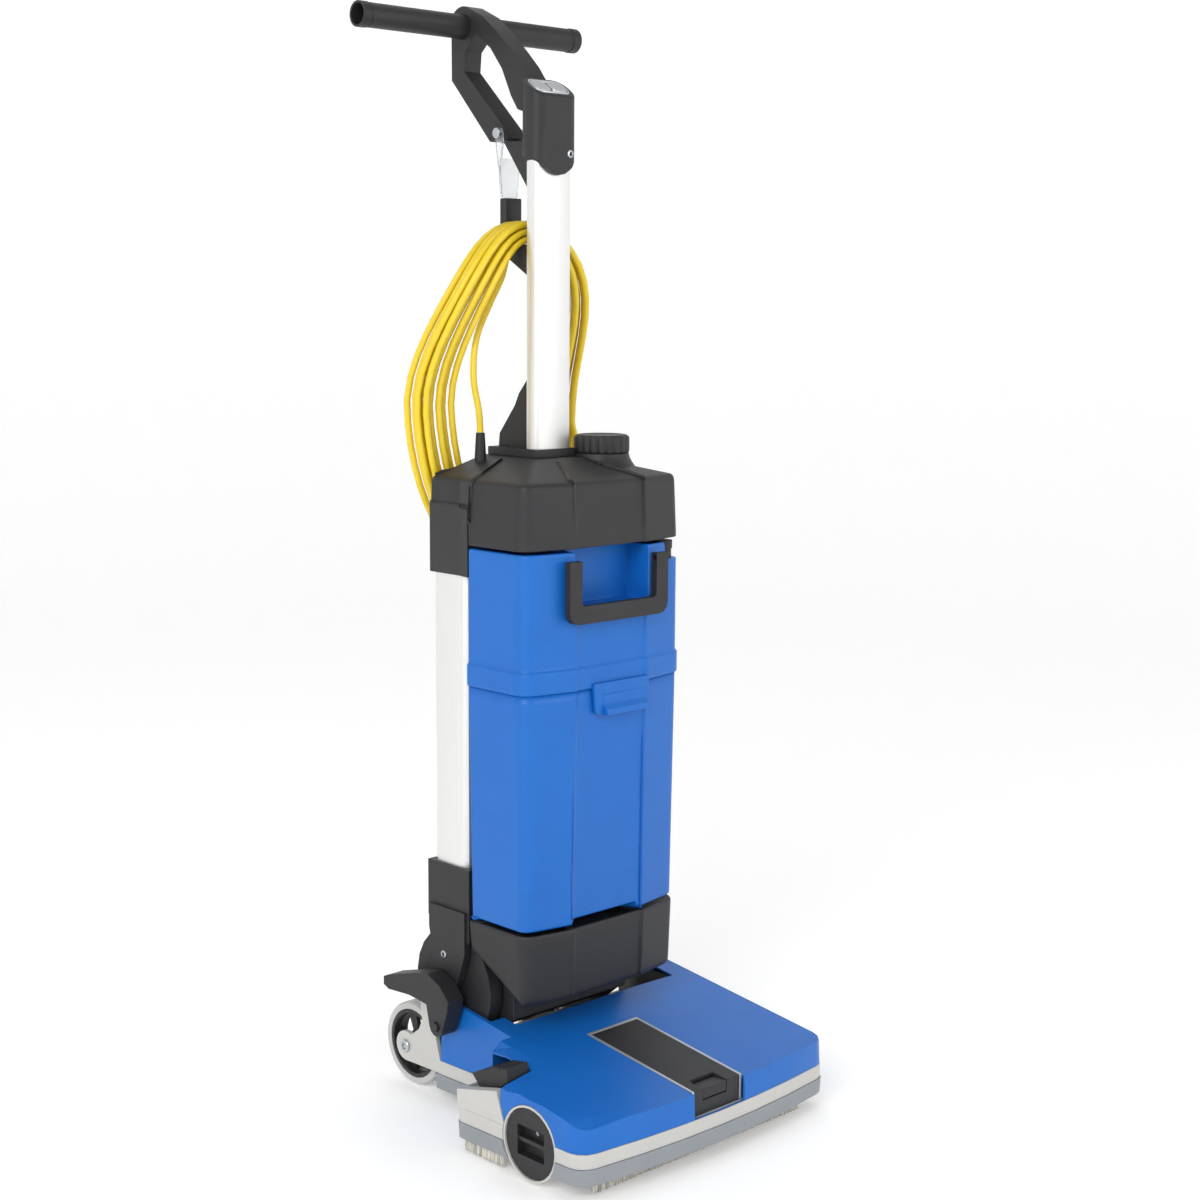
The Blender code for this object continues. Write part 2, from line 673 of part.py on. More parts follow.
def pivot_yoke():
    """Inner foot of the upright, turning between the two brackets and clearing the deck's slot."""
    rear = arc((PIVOT_Y, PIVOT_Z), 0.0575, 58, -128, 18)
    outline = [(0.0130, 0.1050), (0.0130, 0.2055), (0.0470, 0.2055), (0.0470, 0.1750), (0.1160, 0.1985)] + rear
    return plate("pivot_yoke", list(reversed(outline)), "X", (-0.0810, 0.0810), black(),
                 holes=[circle((PIVOT_Y, PIVOT_Z), 0.0083, 16)])


def base_housing():
    """Black skirt under the tanks with a seat on top, its lower edge rising towards the rear."""
    shape = body_shape(0.052, 0.1085, -0.0465)
    levels = [(0.137, 0.0035), (0.150, 0.001), (0.205, 0), (0.210, 0.001)]
    housing = loft("base_housing", flat_rings(shape, levels), black())
    cut(housing, as_cutter(loft("base_hollow", flat_rings(shape, [(0.12, 0.0065), (0.206, 0.003)]), black())))
    slope = [(-0.028, 0.130), (0.060, 0.130), (0.060, 0.1835)]
    return cut(housing, plate("base_slope", slope, "X", (-0.12, 0.12), black()))


def column_clamp():
    """Bracket around the column's foot, with a cheek on each side that turns on the pivot shaft."""
    slanted = [(0.0540, 0.1822), (0.1205, 0.2010), (0.1205, 0.2610), (0.0540, 0.2610)]
    clamp = plate("column_clamp", slanted, "X", (-0.1065, 0.1065), black())
    pocket = plate("clamp_pocket", rectangle((-0.1033, 0.1033), (0.0617, 0.1163), 0.010), "Z", (0.2057, 0.3), black())
    for name, side in (("cheek_left", -1), ("cheek_right", 1)):
        outline = [(0.0580, 0.2150), (0.0580, 0.1700)] + arc((PIVOT_Y, PIVOT_Z), 0.0150, 190, 350, 8)
        outline += [(0.1160, 0.1900), (0.1160, 0.2150)]
        cheek = plate(name, outline, "X", sorted((side * 0.1010, side * 0.1095)), black(),
                      holes=[circle((PIVOT_Y, PIVOT_Z), 0.0083, 16)])
        join(clamp, cheek)
    return cut(clamp, pocket, disc("drum_clearance", DRUM_R + 0.0006, "X", (-0.1004, 0.1004),
                                   (0, PIVOT_Y, PIVOT_Z), black(), 40))


def rear_column():
    """Wide hollow aluminium extrusion behind the tanks."""
    outer = rectangle((-COLUMN_HALF, COLUMN_HALF), COLUMN_Y, 0.0100)
    inner = inset(outer, 0.0025)
    return plate("rear_column", outer, "Z", (0.206, 0.636), aluminium(), holes=[inner])


def rear_housing():
    """Black collar around the column's head."""
    collar = loft("rear_housing", flat_rings(cover_shape(), [(0.567, 0), (0.6372, 0)]), black())
    cut(collar, box("collar_front", (-0.15, 0.15), (-0.1, 0.0505), (0.5, 0.7), black()))
    cut(collar, plate("collar_mast_hole", mast_section(GAP), "Z", (0.5, 0.7), black()))
    return cut(collar, plate("collar_pocket", rectangle((-0.1033, 0.1033), (0.0617, 0.1163), 0.010), "Z",
                             (0.5, 0.7), black()))


def top_cover():
    """Black cover over the tanks and the column: upright sides, a hipped roof and the filler's neck."""
    shape = cover_shape()
    roof = [(x * 0.32, 0.021 + (y + 0.046) * 0.575, 0.684) for x, y in outline_at(shape)]
    rings = flat_rings(shape, [(COVER_Z, 0), (0.664, 0.0028), (0.667, 0.005)]) + [roof]
    cover = loft("top_cover", rings, black())
    neck = turned("filler_neck", [(0.0, 0.655), (0.0400, 0.655), (0.0370, 0.668), (0.0300, 0.679), (0.0285, 0.6870),
                                  (0.0, 0.6870)], "Z", (0.055, 0.028, 0), black(), 24)
    join(cover, neck)
    cut(cover, box("rear_step", (-0.15, 0.15), (0.0468, 0.15), (0.59, 0.6375), black()))
    cut(cover, as_cutter(loft("cover_hollow", flat_rings(shape, [(0.59, 0.003), (0.661, 0.006)]), black())))
    cut(cover, disc("neck_bore", 0.0225, "Z", (0.6, 0.7), (0.055, 0.028, 0), black(), 20))
    cut(cover, plate("mast_hole", mast_section(GAP), "Z", (0.6, 0.7), black()))
    return cut(cover, disc("gland_hole", 0.0063, "Z", (0.6, 0.7), (GLAND_X, GLAND_Y, 0), black(), 16))


def solution_cap():
    """Screw cap of the filler: a ribbed head over a spigot."""
    profile = [(0.0, 0.668), (0.0220, 0.668), (0.0220, 0.6873), (0.0290, 0.6873), (0.0290, 0.7040),
               (0.0270, 0.7060), (0.0, 0.7060)]
    return turned("solution_cap", profile, "Z", (0.055, 0.028, 0), black(), 24)


VAC_X, VAC_Y = -0.052, -0.002


def vacuum_motor():
    """Suction motor hanging in the top cover, with its shaft down into the fan."""
    profile = [(0.0, 0.6140), (0.0040, 0.6140), (0.0040, 0.6200), (0.0310, 0.6200), (0.0340, 0.6230),
               (0.0340, 0.6500), (0.0250, 0.6580), (0.0, 0.6580)]
    return turned("vacuum_motor", profile, "Z", (VAC_X, VAC_Y, 0), steel(), 24)


def vacuum_fan():
    """Fan disc with its hub, turning under the motor."""
    profile = [(0.0043, 0.6060), (0.0110, 0.6060), (0.0120, 0.6120), (0.0330, 0.6160), (0.0330, 0.6185),
               (0.0043, 0.6175)]
    return turned("vacuum_fan", profile, "Z", (VAC_X, VAC_Y, 0), aluminium(), 24)


# ---------- tanks ----------

def solution_tank():
    """Lower blue tank, an open bucket under the recovery tank."""
    shape = body_shape(0.050)
    levels = [(TANK_Z[0], 0.0050), (TANK_Z[0] + 0.004, 0.0030), (TANK_Z[1], 0)]
    tank = loft("solution_tank", flat_rings(shape, levels), blue())
    hollow = flat_rings(shape, [(TANK_Z[0] + 0.004, 0.0065), (0.47, 0.0030)])
    return cut(tank, as_cutter(loft("solution_hollow", hollow, blue())))


SPOUT_X, SPOUT_Y = 0.0945, -0.0235


def recovery_tank():
    """Upper blue tank: lip and latch tongue below, handle recess in front, spout corner on top."""
    shape = body_shape(0.050)
    low, high = UPPER_Z
    levels = [(low, -0.0015), (0.4785, -0.0022), (0.4815, 0), (high - 0.001, -0.0004), (high, 0.0008)]
    tank = loft("recovery_tank", flat_rings(shape, levels), blue())
    hollow = loft("recovery_hollow", flat_rings(shape, [(low + 0.003, 0.003), (0.61, 0.003)]), blue())
    cut(as_cutter(hollow), box("recess_wall", (-0.0535, 0.0535), (-0.08, -0.0130), (0.537, 0.62), blue()))
    cut(hollow, box("spout_wall", (0.0790, 0.13), (-0.08, -0.0080), (0.575, 0.62), blue()))
    tongue = box("latch_tongue", (-0.0270, 0.0490), (-0.0508, -0.0474), (0.4300, 0.4620), blue())
    cut(join(tank, tongue), hollow)
    cut(tank, box("handle_recess", (-0.0505, 0.0505), (-0.08, -0.0160), (0.540, 0.62), blue()))
    cut(tank, box("spout_corner", (0.0820, 0.13), (-0.08, -0.0110), (0.578, 0.62), blue()))
    for name, side in (("ear_left", -1), ("ear_right", 1)):
        ear = box(name, sorted((side * 0.0455, side * 0.0515)), (-0.0575, -0.0440), (0.5740, 0.5920), blue())
        pin = disc(name + "_pin", 0.0025, "X", sorted((side * 0.0490, side * 0.0600)), (0, HANDLE_Y, HANDLE_Z),
                   blue(), 12)
        join(tank, ear, pin)
    return cut(tank, box("latch_window", (-0.0170, 0.0450), (-0.06, -0.0470), (0.4200, 0.4510), blue()))


HANDLE_Y, HANDLE_Z = -0.0535, 0.5840


def carry_handle():
    """Swinging U-shaped carry handle of the recovery tank."""
    outer = rounded([(-0.0690, 0.5890), (-0.0690, 0.5260), (0.0690, 0.5260), (0.0690, 0.5890)],
                    [0, 0.012, 0.012, 0], 3)
    inner = rounded([(0.0523, 0.5890), (0.0523, 0.5440), (-0.0523, 0.5440), (-0.0523, 0.5890)],
                    [0, 0.004, 0.004, 0], 2)
    handle = plate("carry_handle", outer + inner, "Y", (-0.0575, -0.0495), black(), origin=(0, HANDLE_Y, HANDLE_Z))
    return cut(handle, disc("handle_bore", 0.0029, "X", (-0.0610, 0.0610), (0, HANDLE_Y, HANDLE_Z), black(), 12))


def tank_latch():
    """Finger latch in the recovery tank's tongue, turning about its upper edge."""
    outline = [(-0.0480, 0.4290), (-0.0575, 0.4290), (-0.0565, 0.4350), (-0.0515, 0.4400), (-0.0515, 0.4500),
               (-0.0480, 0.4500)]
    return plate("tank_latch", outline, "X", (-0.0163, 0.0443), blue(), origin=(0.014, -0.0497, 0.4480))


def spout_cap():
    """Push-in cap of the recovery tank's pouring spout."""
    profile = [(0.0, 0.5783), (0.0095, 0.5783), (0.0095, 0.5880), (0.0105, 0.5880), (0.0105, 0.5965),
               (0.0, 0.5965)]
    return turned("spout_cap", profile, "Z", (SPOUT_X, SPOUT_Y, 0), black(), 20)


# ---------- mast, hooks and handle ----------

def mast():
    outer = mast_section()
    return plate("mast", outer, "Z", (0.606, MAST_TOP), aluminium(), holes=[inset(outer, 0.0018)])


def lower_hook():
    """Collar around the mast's foot in one piece with the lower cord hook's fin."""
    base = rectangle((-0.0290, 0.0290), (0.0365, 0.1150), 0.004)
    hook = plate("lower_hook", base, "Z", (0.6843, 0.6925), black())
    fin = [(0.0617, 0.6880), (0.1120, 0.6880), (0.1100, 0.7060), (0.0860, 0.7360), (0.0800, 0.7480),
           (0.0680, 0.7620), (0.0617, 0.7620)]
    join(hook, plate("hook_fin", fin, "X", (-0.0150, 0.0150), black()))
    cut(hook, plate("collar_hole", mast_section(GAP), "Z", (0.6, 0.7), black()))
    cut(hook, disc("cap_clearance", 0.0302, "Z", (0.66, 0.72), (0.055, 0.028, 0), black(), 32))
    return cut(hook, box("fin_slot", (-0.0040, 0.0040), (0.0560, 0.0760), (0.7200, 0.7700), black()))


def handle_spine():
    """Strip down the mast's back that spreads into the flange under the handle."""
    outline = [(0.0612, 0.8660), (0.0680, 0.8660), (0.0715, 0.9570), (0.1080, 1.0046), (0.0668, 1.0046),
               (0.0668, 0.9866), (0.0612, 0.9845)]
    return plate("handle_spine", outline, "X", (-0.0115, 0.0115), black())


def upper_hook():
    """Hook behind the mast that carries the coil, with a turned-up tip."""
    saddle = [(0.1040, 0.9480), (0.1040, 0.9060), (0.0995, 0.9005), (0.0735, 0.9005), (0.0712, 0.9100)]
    outline = [(0.0684, 0.8665), (0.1080, 0.8900), (0.1140, 0.9100), (0.1140, 0.9480)] + saddle
    return plate("upper_hook", outline, "X", (-0.0110, 0.0110), black())


BOLT_Y, BOLT_Z = 0.1120, 1.0135


def hook_gate():
    """Clear keeper that closes the hook, hanging from the handle's cross bolt."""
    web = [(-0.0105, 0.9487), (0.0105, 0.9487), (0.0140, 0.9885), (-0.0140, 0.9885)]
    gate = plate("hook_gate", web, "Y", (0.1095, 0.1135), clear(), origin=(0, BOLT_Y, BOLT_Z))
    for name, side in (("gate_ear_left", -1), ("gate_ear_right", 1)):
        outline = [(0.1095, 0.9800), (0.1135, 0.9800), (0.1180, 1.0100)] + arc((BOLT_Y, BOLT_Z), 0.0060, 0, 180, 6)
        outline += [(0.1060, 1.0060)]
        join(gate, plate(name, outline, "X", sorted((side * 0.0118, side * 0.0140)), clear()))
    return cut(gate, disc("gate_bore", 0.0036, "X", (-0.03, 0.03), (0, BOLT_Y, BOLT_Z), clear(), 12))


def cross_bolt():
    """Bolt through the foot of the handle's lower arm, with a head at each end."""
    profile = [(0.0, -0.0180), (0.0055, -0.0180), (0.0055, -0.0143), (0.0033, -0.0143), (0.0033, 0.0143),
               (0.0055, 0.0143), (0.0055, 0.0180), (0.0, 0.0180)]
    return turned("cross_bolt", profile, "X", (0, BOLT_Y, BOLT_Z), steel(), 12)


def handle_loop():
    """Bent handle: a hub around the bar, a curved upper arm to the head and a cranked lower arm."""
    upper_top = [(0.0664, 1.0640), (0.0780, 1.0785), (0.0960, 1.0960), (0.1180, 1.1160), (0.1400, 1.1330)]
    hub = arc((BAR_Y, BAR_Z), 0.0210, 105, -30, 10)
    lower = [(0.1900, 1.0720), (0.1285, 1.0056), (0.1085, 1.0052), (0.1010, 1.0080), (0.1050, 1.0180),
             (0.1700, 1.0800), (0.1680, 1.1000)]
    upper_low = [(0.1500, 1.1160), (0.1280, 1.1000), (0.1100, 1.0780), (0.0960, 1.0500), (0.0860, 1.0360),
                 (0.0664, 1.0300)]
    outline = list(reversed(upper_top + hub + lower + upper_low))
    return plate("handle_loop", outline, "X", (-0.0115, 0.0115), black(),
                 holes=[circle((BAR_Y, BAR_Z), BAR_R + GAP, 20), circle((BOLT_Y, BOLT_Z), 0.0036, 12)])


def handlebar():
    """Straight tube across the top of the handle, with a slightly flared ring at each end."""
    outer = [(BAR_R, 0.1365), (BAR_R - 0.0008, 0.1368), (BAR_R - 0.0008, 0.1376), (0.0130, 0.1382), (0.0130, BAR_HALF)]
    left = [(r, -x) for r, x in reversed(outer)]
    inner = [(0.0106, BAR_HALF), (0.0106, -BAR_HALF)]
    return turned("handlebar", left + outer + inner, "X", (0, BAR_Y, BAR_Z), black(), 28)


HEAD_Y = (0.0365, 0.0660)


def head_top(y):
    """Height of the head's slanted top."""
    return 1.0470 + 0.0190 * (y - HEAD_Y[0]) / (HEAD_Y[1] - HEAD_Y[0])


def oval_rings(x, y, radius, below, above):
    """Two rings of an oval prism that follows the head's slanted top."""
    outline = rectangle(x, y, radius, 4)
    return [[(p, q, head_top(q) + d) for p, q in outline] for d in (below, above)]


def head():
    """Oval housing over the mast's top with the switches in its slanted face."""
    outline = rectangle((-0.0290, 0.0290), HEAD_Y, 0.0125, 4)
    rings = [[(x, y, 0.9680) for x, y in outline], [(x, y, head_top(y) - 0.0012) for x, y in outline],
             [(x, y, head_top(y)) for x, y in inset(outline, 0.0012)]]
    shell = loft("head", rings, black())
    cut(shell, plate("head_socket", mast_section(GAP), "Z", (0.9, MAST_TOP + GAP), black()))
    arch = [(-0.04, 0.95), (0.04, 0.95), (0.04, 0.9885)]
    arch += [(x, 0.9685 + 0.0185 * (x / 0.029) ** 2) for x in (0.029, 0.019, 0.0095, 0.0, -0.0095, -0.019, -0.029)]
    arch += [(-0.04, 0.9885)]
    cut(shell, plate("head_arch", arch, "Y", (0.02, 0.08), black()))
    cut(shell, box("head_back", (-0.04, 0.04), (0.0600, 0.08), (0.95, 0.9875), black()))
    return cut(shell, as_cutter(loft("switch_pocket", oval_rings((-0.0240, 0.0240), (0.0405, 0.0620), 0.0090,
                                                                -0.0075, 0.01), black())))


def switch_bezel():
    """Bright oval rim around the two switches."""
    bezel = loft("switch_bezel", oval_rings((-0.0237, 0.0237), (0.0408, 0.0617), 0.0087, -0.0070, 0.0008), silver())
    hole = loft("bezel_hole", oval_rings((-0.0221, 0.0221), (0.0424, 0.0601), 0.0071, -0.02, 0.02), silver())
    return cut(bezel, as_cutter(hole))


def rocker(side, name):
    """One rocker switch, turning about the line between its two halves."""
    x = sorted((side * 0.0012, side * 0.0208))
    rings = oval_rings(x, (0.0436, 0.0589), 0.0055, -0.0050, 0.0012)
    middle = (HEAD_Y[0] + HEAD_Y[1]) / 2
    return loft("rocker_" + name, rings, silver(), origin=(side * 0.0110, middle, head_top(middle) - 0.0020))


# ---------- mains cord ----------

GLAND_X, GLAND_Y = -0.0500, 0.1000


def cord_gland():
    """Tapered strain relief where the cord leaves the top cover."""
    profile = [(0.0041, 0.6560), (0.0075, 0.6560), (0.0075, 0.6600), (0.0060, 0.6605), (0.0060, 0.6840),
               (0.0046, 0.7080), (0.0041, 0.7080)]
    return turned("cord_gland", profile, "Z", (GLAND_X, GLAND_Y, 0), black(), 16)


def coil_centre(t):
    """Middle of the hanging bundle: an upright oval from the hook, swinging back behind the column."""
    half_width, middle = 0.0900, (COIL_TOP + COIL_BOTTOM) / 2
    z = middle + (COIL_TOP - COIL_BOTTOM) / 2 * math.cos(t)
    x = 0.006 * (1 - math.cos(t)) / 2 - half_width * math.sin(t)
    swing_back = min(max((0.890 - z) / 0.160, 0), 1)
    y = 0.0873 + (0.1385 - 0.0873) * swing_back * swing_back * (3 - 2 * swing_back)
    return Vector((x, y, z))


def coil_half(t):
    """Half of the bundle's width in its own plane, narrow on the hook and spread at its sides."""
    return 0.0108 + 0.0130 * math.sin(t / 2) ** 0.8 * (0.55 + 0.45 * math.sin(t) ** 2)


def cord_coil():
    """Outer shape of the coil: one closed ring that hangs from the upper hook."""
    bm = bmesh.new()
    steps = 36
    rings = []
    for k in range(steps):
        t = 2 * math.pi * k / steps
        here = coil_centre(t)
        ahead = (coil_centre(t + 0.01) - coil_centre(t - 0.01)).normalized()
        depth = Vector((0, 1, 0)) - ahead * ahead.y
        depth.normalize()
        wide = ahead.cross(depth)
        half_w, half_d = coil_half(t), 0.0150
        ring = []
        for a in range(10):
            c, s = math.cos(2 * math.pi * a / 10), math.sin(2 * math.pi * a / 10)
            c = math.copysign(abs(c) ** 0.7, c)
            s = math.copysign(abs(s) ** 0.7, s)
            ring.append(bm.verts.new(here + wide * (half_w * c) + depth * (half_d * s)))
        rings.append(ring)
    for k in range(steps):
        near, far = rings[k], rings[(k + 1) % steps]
        for a in range(10):
            b = (a + 1) % 10
            bm.faces.new((near[a], near[b], far[b], far[a]))
    return finish("cord_coil", bm, yellow())


def smooth_route(points, per_span=2):
    """Catmull-Rom curve through a route's points."""
    p = [Vector(q) for q in points]
    p = [p[0] * 2 - p[1]] + p + [p[-1] * 2 - p[-2]]
    out = []
    for i in range(1, len(p) - 2):
        for k in range(per_span):
            t = k / per_span
            out.append(0.5 * (2 * p[i] + (p[i + 1] - p[i - 1]) * t
                              + (2 * p[i - 1] - 5 * p[i] + 4 * p[i + 1] - p[i + 2]) * t * t
                              + (3 * p[i] - p[i - 1] - 3 * p[i + 1] + p[i + 2]) * t ** 3))
    return out + [p[-2]]


def cord_tube(name, points):
    curve = bpy.data.curves.new(name, "CURVE")
    curve.dimensions = "3D"
    curve.bevel_depth = CORD_R
    curve.bevel_resolution = 2
    curve.use_fill_caps = True
    curve.render_resolution_u = 0
    line = smooth_route(points)
    spline = curve.splines.new("POLY")
    spline.points.add(len(line) - 1)
    for point, place in zip(spline.points, line):
        point.co = (*place, 1)
    obj = bpy.data.objects.new(name, curve)
    obj.data.materials.append(yellow())
    bpy.context.scene.collection.objects.link(obj)
    return obj


LEAD_ROUTE = [(GLAND_X, GLAND_Y, 0.7083), (-0.0510, 0.1010, 0.7300), (-0.0540, 0.1060, 0.7650),
              (-0.0480, 0.1080, 0.8050), (-0.0330, 0.1030, 0.8420), (-0.0230, 0.0960, 0.8690),
              (-0.0200, 0.0915, 0.8915)]


def cord_lead():
    """The cord from its gland up to the coil."""
    return cord_tube("cord_lead", LEAD_ROUTE)


TAIL_X, TAIL_Y = 0.0060, 0.1385
PLUG_TOP = 0.5280


def cord_tail():
    """Short tail below the coil, down to the plug."""
    return cord_tube("cord_tail", [(TAIL_X, TAIL_Y, 0.5617), (TAIL_X, TAIL_Y, 0.5450), (TAIL_X, TAIL_Y, PLUG_TOP + GAP)])


def cord_plug():
    """Moulded plug with two round pins."""
    centre = (TAIL_X, TAIL_Y, 0)
    profile = [(0.0, PLUG_TOP), (0.0050, PLUG_TOP), (0.0075, PLUG_TOP - 0.014), (0.0125, PLUG_TOP - 0.022),
               (0.0145, PLUG_TOP - 0.044), (0.0, PLUG_TOP - 0.044)]
    plug = turned("cord_plug", profile, "Z", centre, black(), 16)
    for k, side in enumerate((-1, 1)):
        pin = disc(f"plug_pin_{k}", 0.0024, "Z", (PLUG_TOP - 0.062, PLUG_TOP - 0.042),
                   (TAIL_X + side * 0.0075, TAIL_Y, 0), steel(), 8)
        join(plug, pin)
    return plug


# ---------- assembly ----------

def build_chassis():
    chassis_tray()
    skirt_bumper()
    deck_shell()
    duct_trim()
    duct_cover()
    duct_latch()
    brush_tunnel()
    end_cap_ring()
    brush_end_cap()
    brush_core()
    brush_bristles()
    brush_pulley()
    motor_pulley()
    brush_motor()
    drive_belt()
    squeegee_holder()
    squeegee_blade()
    curtain_front()
    curtain_left()
    axle()
    for side, name in ((-1, "left"), (1, "right")):
        wheel(side, name)
        pivot_bracket(side, name)
    pivot_shaft()
    recline_pedal()
    squeegee_lever()


def build_upright():
    pivot_yoke()
    base_housing()
    column_clamp()
    rear_column()
    rear_housing()
    top_cover()
    solution_cap()
    vacuum_motor()
    vacuum_fan()
    solution_tank()
    recovery_tank()
    carry_handle()
    tank_latch()
    spout_cap()
    mast()
    lower_hook()
    handle_spine()
    upper_hook()
    hook_gate()
    cross_bolt()
    handle_loop()
    handlebar()
    head()
    switch_bezel()
    for side, name in ((-1, "left"), (1, "right")):
        rocker(side, name)


def build_cord():
    cord_gland()
    cord_coil()
    cord_lead()
    cord_tail()
    cord_plug()


clear_scene()
build_chassis()
build_upright()
build_cord()
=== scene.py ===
# %% [markdown]
# # Upright floor scrubber
# The machine is a wide brush deck on two rear wheels, with a tall upright of two blue tanks, an aluminium
# mast and a cross handle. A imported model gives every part's size and place, and this lesson adds the looks:
# rounded mouldings, real surface finishes and the fine pieces. All lengths are in metres.

# %% Load the frame
import json
import math

import bmesh
import bpy
import numpy as np
from mathutils import Matrix, Vector


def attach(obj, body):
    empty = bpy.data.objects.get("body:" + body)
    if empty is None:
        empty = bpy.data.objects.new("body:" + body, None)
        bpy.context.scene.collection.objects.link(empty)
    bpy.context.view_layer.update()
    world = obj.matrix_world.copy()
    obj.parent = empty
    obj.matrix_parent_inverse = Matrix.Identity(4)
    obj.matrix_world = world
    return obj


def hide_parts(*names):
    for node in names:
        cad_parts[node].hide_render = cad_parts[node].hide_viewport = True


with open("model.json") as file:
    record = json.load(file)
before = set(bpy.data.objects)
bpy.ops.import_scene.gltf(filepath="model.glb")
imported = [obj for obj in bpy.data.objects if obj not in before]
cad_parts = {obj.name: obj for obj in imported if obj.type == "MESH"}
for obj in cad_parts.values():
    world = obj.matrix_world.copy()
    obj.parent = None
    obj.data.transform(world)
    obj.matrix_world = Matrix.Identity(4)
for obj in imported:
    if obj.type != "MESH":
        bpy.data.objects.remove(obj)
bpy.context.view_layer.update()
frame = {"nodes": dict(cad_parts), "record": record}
nodes = frame["nodes"]
body_of = {name: body for body, names in frame["record"]["behaviour"]["bodies"].items() for name in names}
slot_of = {part["node"]: part["material_slot"] for part in frame["record"]["subparts"]}

# %% [markdown]
# The camera stands at a person's chest height, off the machine's front left corner, and looks slightly
# down. Its place is a position and three angles, and the lens is a mild telephoto, so verticals stay
# nearly parallel.

# %% Camera
HEADING, PITCH, ROLL = (math.radians(a) for a in (-43.99, 8.45, 0.36))
CAMERA_PLACE = Vector((-1.396, -1.474, 0.841))
LENS_MM = 59.9

camera_data = bpy.data.cameras.new("camera")
camera_data.lens = LENS_MM
camera_data.sensor_width = 36.0
camera = bpy.data.objects.new("camera", camera_data)
turn = Matrix.Rotation(HEADING, 4, "Z") @ Matrix.Rotation(math.radians(90) - PITCH, 4, "X")
camera.matrix_world = Matrix.Translation(CAMERA_PLACE) @ turn @ Matrix.Rotation(ROLL, 4, "Z")
bpy.context.scene.collection.objects.link(camera)
bpy.context.scene.camera = camera
print("camera at", tuple(round(v, 3) for v in CAMERA_PLACE))

# %% [markdown]
# Every new shape here is a grid of points, worked out as whole arrays. One helper turns such a grid into
# a mesh: each row can close on itself into a ring, and then one face caps the first row and the last.

# %% Grid helper
MERGE = 1e-6                  # points nearer than a micrometre are one point


def place(obj, body):
    """Links a new piece into the scene and lets it ride on a body."""
    bpy.context.scene.collection.objects.link(obj)
    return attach(obj, body)


def grid_faces(rows, columns, ring=True):
    """Quads between neighbouring points of a grid, whose index is row * columns + column."""
    r, c = np.meshgrid(np.arange(rows - 1), np.arange(columns if ring else columns - 1), indexing="ij")
    c2 = (c + 1) % columns
    corners = [r * columns + c, r * columns + c2, (r + 1) * columns + c2, (r + 1) * columns + c]
    return np.stack(corners, -1).reshape(-1, 4).tolist()


def grid_mesh(name, points, ring=True, smooth=35):
    """A mesh from a (rows, columns, 3) array. ring closes each row and caps the first one and the last."""
    rows, columns = points.shape[:2]
    faces = grid_faces(rows, columns, ring)
    if ring:
        faces += [list(range(columns - 1, -1, -1)), list(range((rows - 1) * columns, rows * columns))]
    mesh = bpy.data.meshes.new(name)
    mesh.from_pydata(points.reshape(-1, 3).tolist(), [], faces)
    return outward(mesh, smooth)


def outward(mesh, smooth):
    """Merges doubled points, turns all faces outwards and shades the mesh smooth up to an angle."""
    bm = bmesh.new()
    bm.from_mesh(mesh)
    bmesh.ops.remove_doubles(bm, verts=bm.verts, dist=MERGE)
    bmesh.ops.recalc_face_normals(bm, faces=bm.faces)
    if bm.calc_volume(signed=True) < 0:
        bmesh.ops.reverse_faces(bm, faces=bm.faces)
    bm.to_mesh(mesh)
    bm.free()
    mesh.shade_smooth()
    mesh.set_sharp_from_angle(angle=math.radians(smooth))
    return mesh


# %% [markdown]
# The mains cord is a little over nine metres of 7 mm cable. It leaves a tapered strain relief on the top cover,
# rises to the hook behind the mast and hangs there in eleven turns, like a coil over a peg. A coil is a
# centreline and nothing more, so its turns come from a loop over one angle: each turn is an upright oval,
# the ovals lie side by side a cord's width apart on the hook, in three layers, and each moves on to its
# neighbour's place at the bottom, behind the housing.

# %% Cord: the route of its turns
CORD_R = 0.0035
PLUG_TOP = Vector((0.0060, 0.1385, 0.5283))
LEAD_ROUTE = [(-0.0500, 0.1000, 0.7083), (-0.0510, 0.1010, 0.7300), (-0.0540, 0.1060, 0.7650),
              (-0.0480, 0.1080, 0.8050), (-0.0330, 0.1030, 0.8420), (-0.0230, 0.0960, 0.8690)]
TURN_POINTS = 48
FIRST_ANGLE, LAST_TURN = 0.25, 2.0   # where the lead joins, and how far round the last turn goes
FOOT_X = 0.0060               # the turns' lowest points hang this far right of their tops
HOOK_Y, SWING_BACK = 0.0873, 0.0512  # depth on the hook, and how much further back behind the housing
SWING_TOP, SWING_SPAN = 0.890, 0.160 # the height where that swing starts, and how far down it takes
MOVE_FROM, MOVE_SPAN = 0.36, 0.28    # the share of a turn where it starts for the next seat, and takes
PITCH_Y = 0.0076              # from one column of turns to the next, on the hook
LAYERS = [                    # each layer's half width, top and bottom, from the inner one out
    (0.0735, 0.9064, 0.5945), (0.0900, 0.9140, 0.5800), (0.1065, 0.9216, 0.5660)]
SEATS = [(0, 2), (0, 1), (0, 0), (1, 0), (1, 1), (1, 2), (1, 3), (2, 3), (2, 2), (2, 1), (2, 0)]
SPREAD = [-0.0030, 0.0025, -0.0010, 0.0035]   # how far each column hangs wider or narrower than its layer


def smooth_step(t):
    """0 below 0, 1 above 1, and an S curve between."""
    t = np.clip(t, 0, 1)
    return t * t * (3 - 2 * t)


def seat_values(k):
    """Half width, top, bottom and depth of the turn that lies in seat k."""
    layer, column = SEATS[min(max(k, 0), len(SEATS) - 1)]
    width, top, bottom = LAYERS[layer]
    return np.array([width + SPREAD[column], top, bottom - 0.4 * SPREAD[column], (column - 1.5) * PITCH_Y])


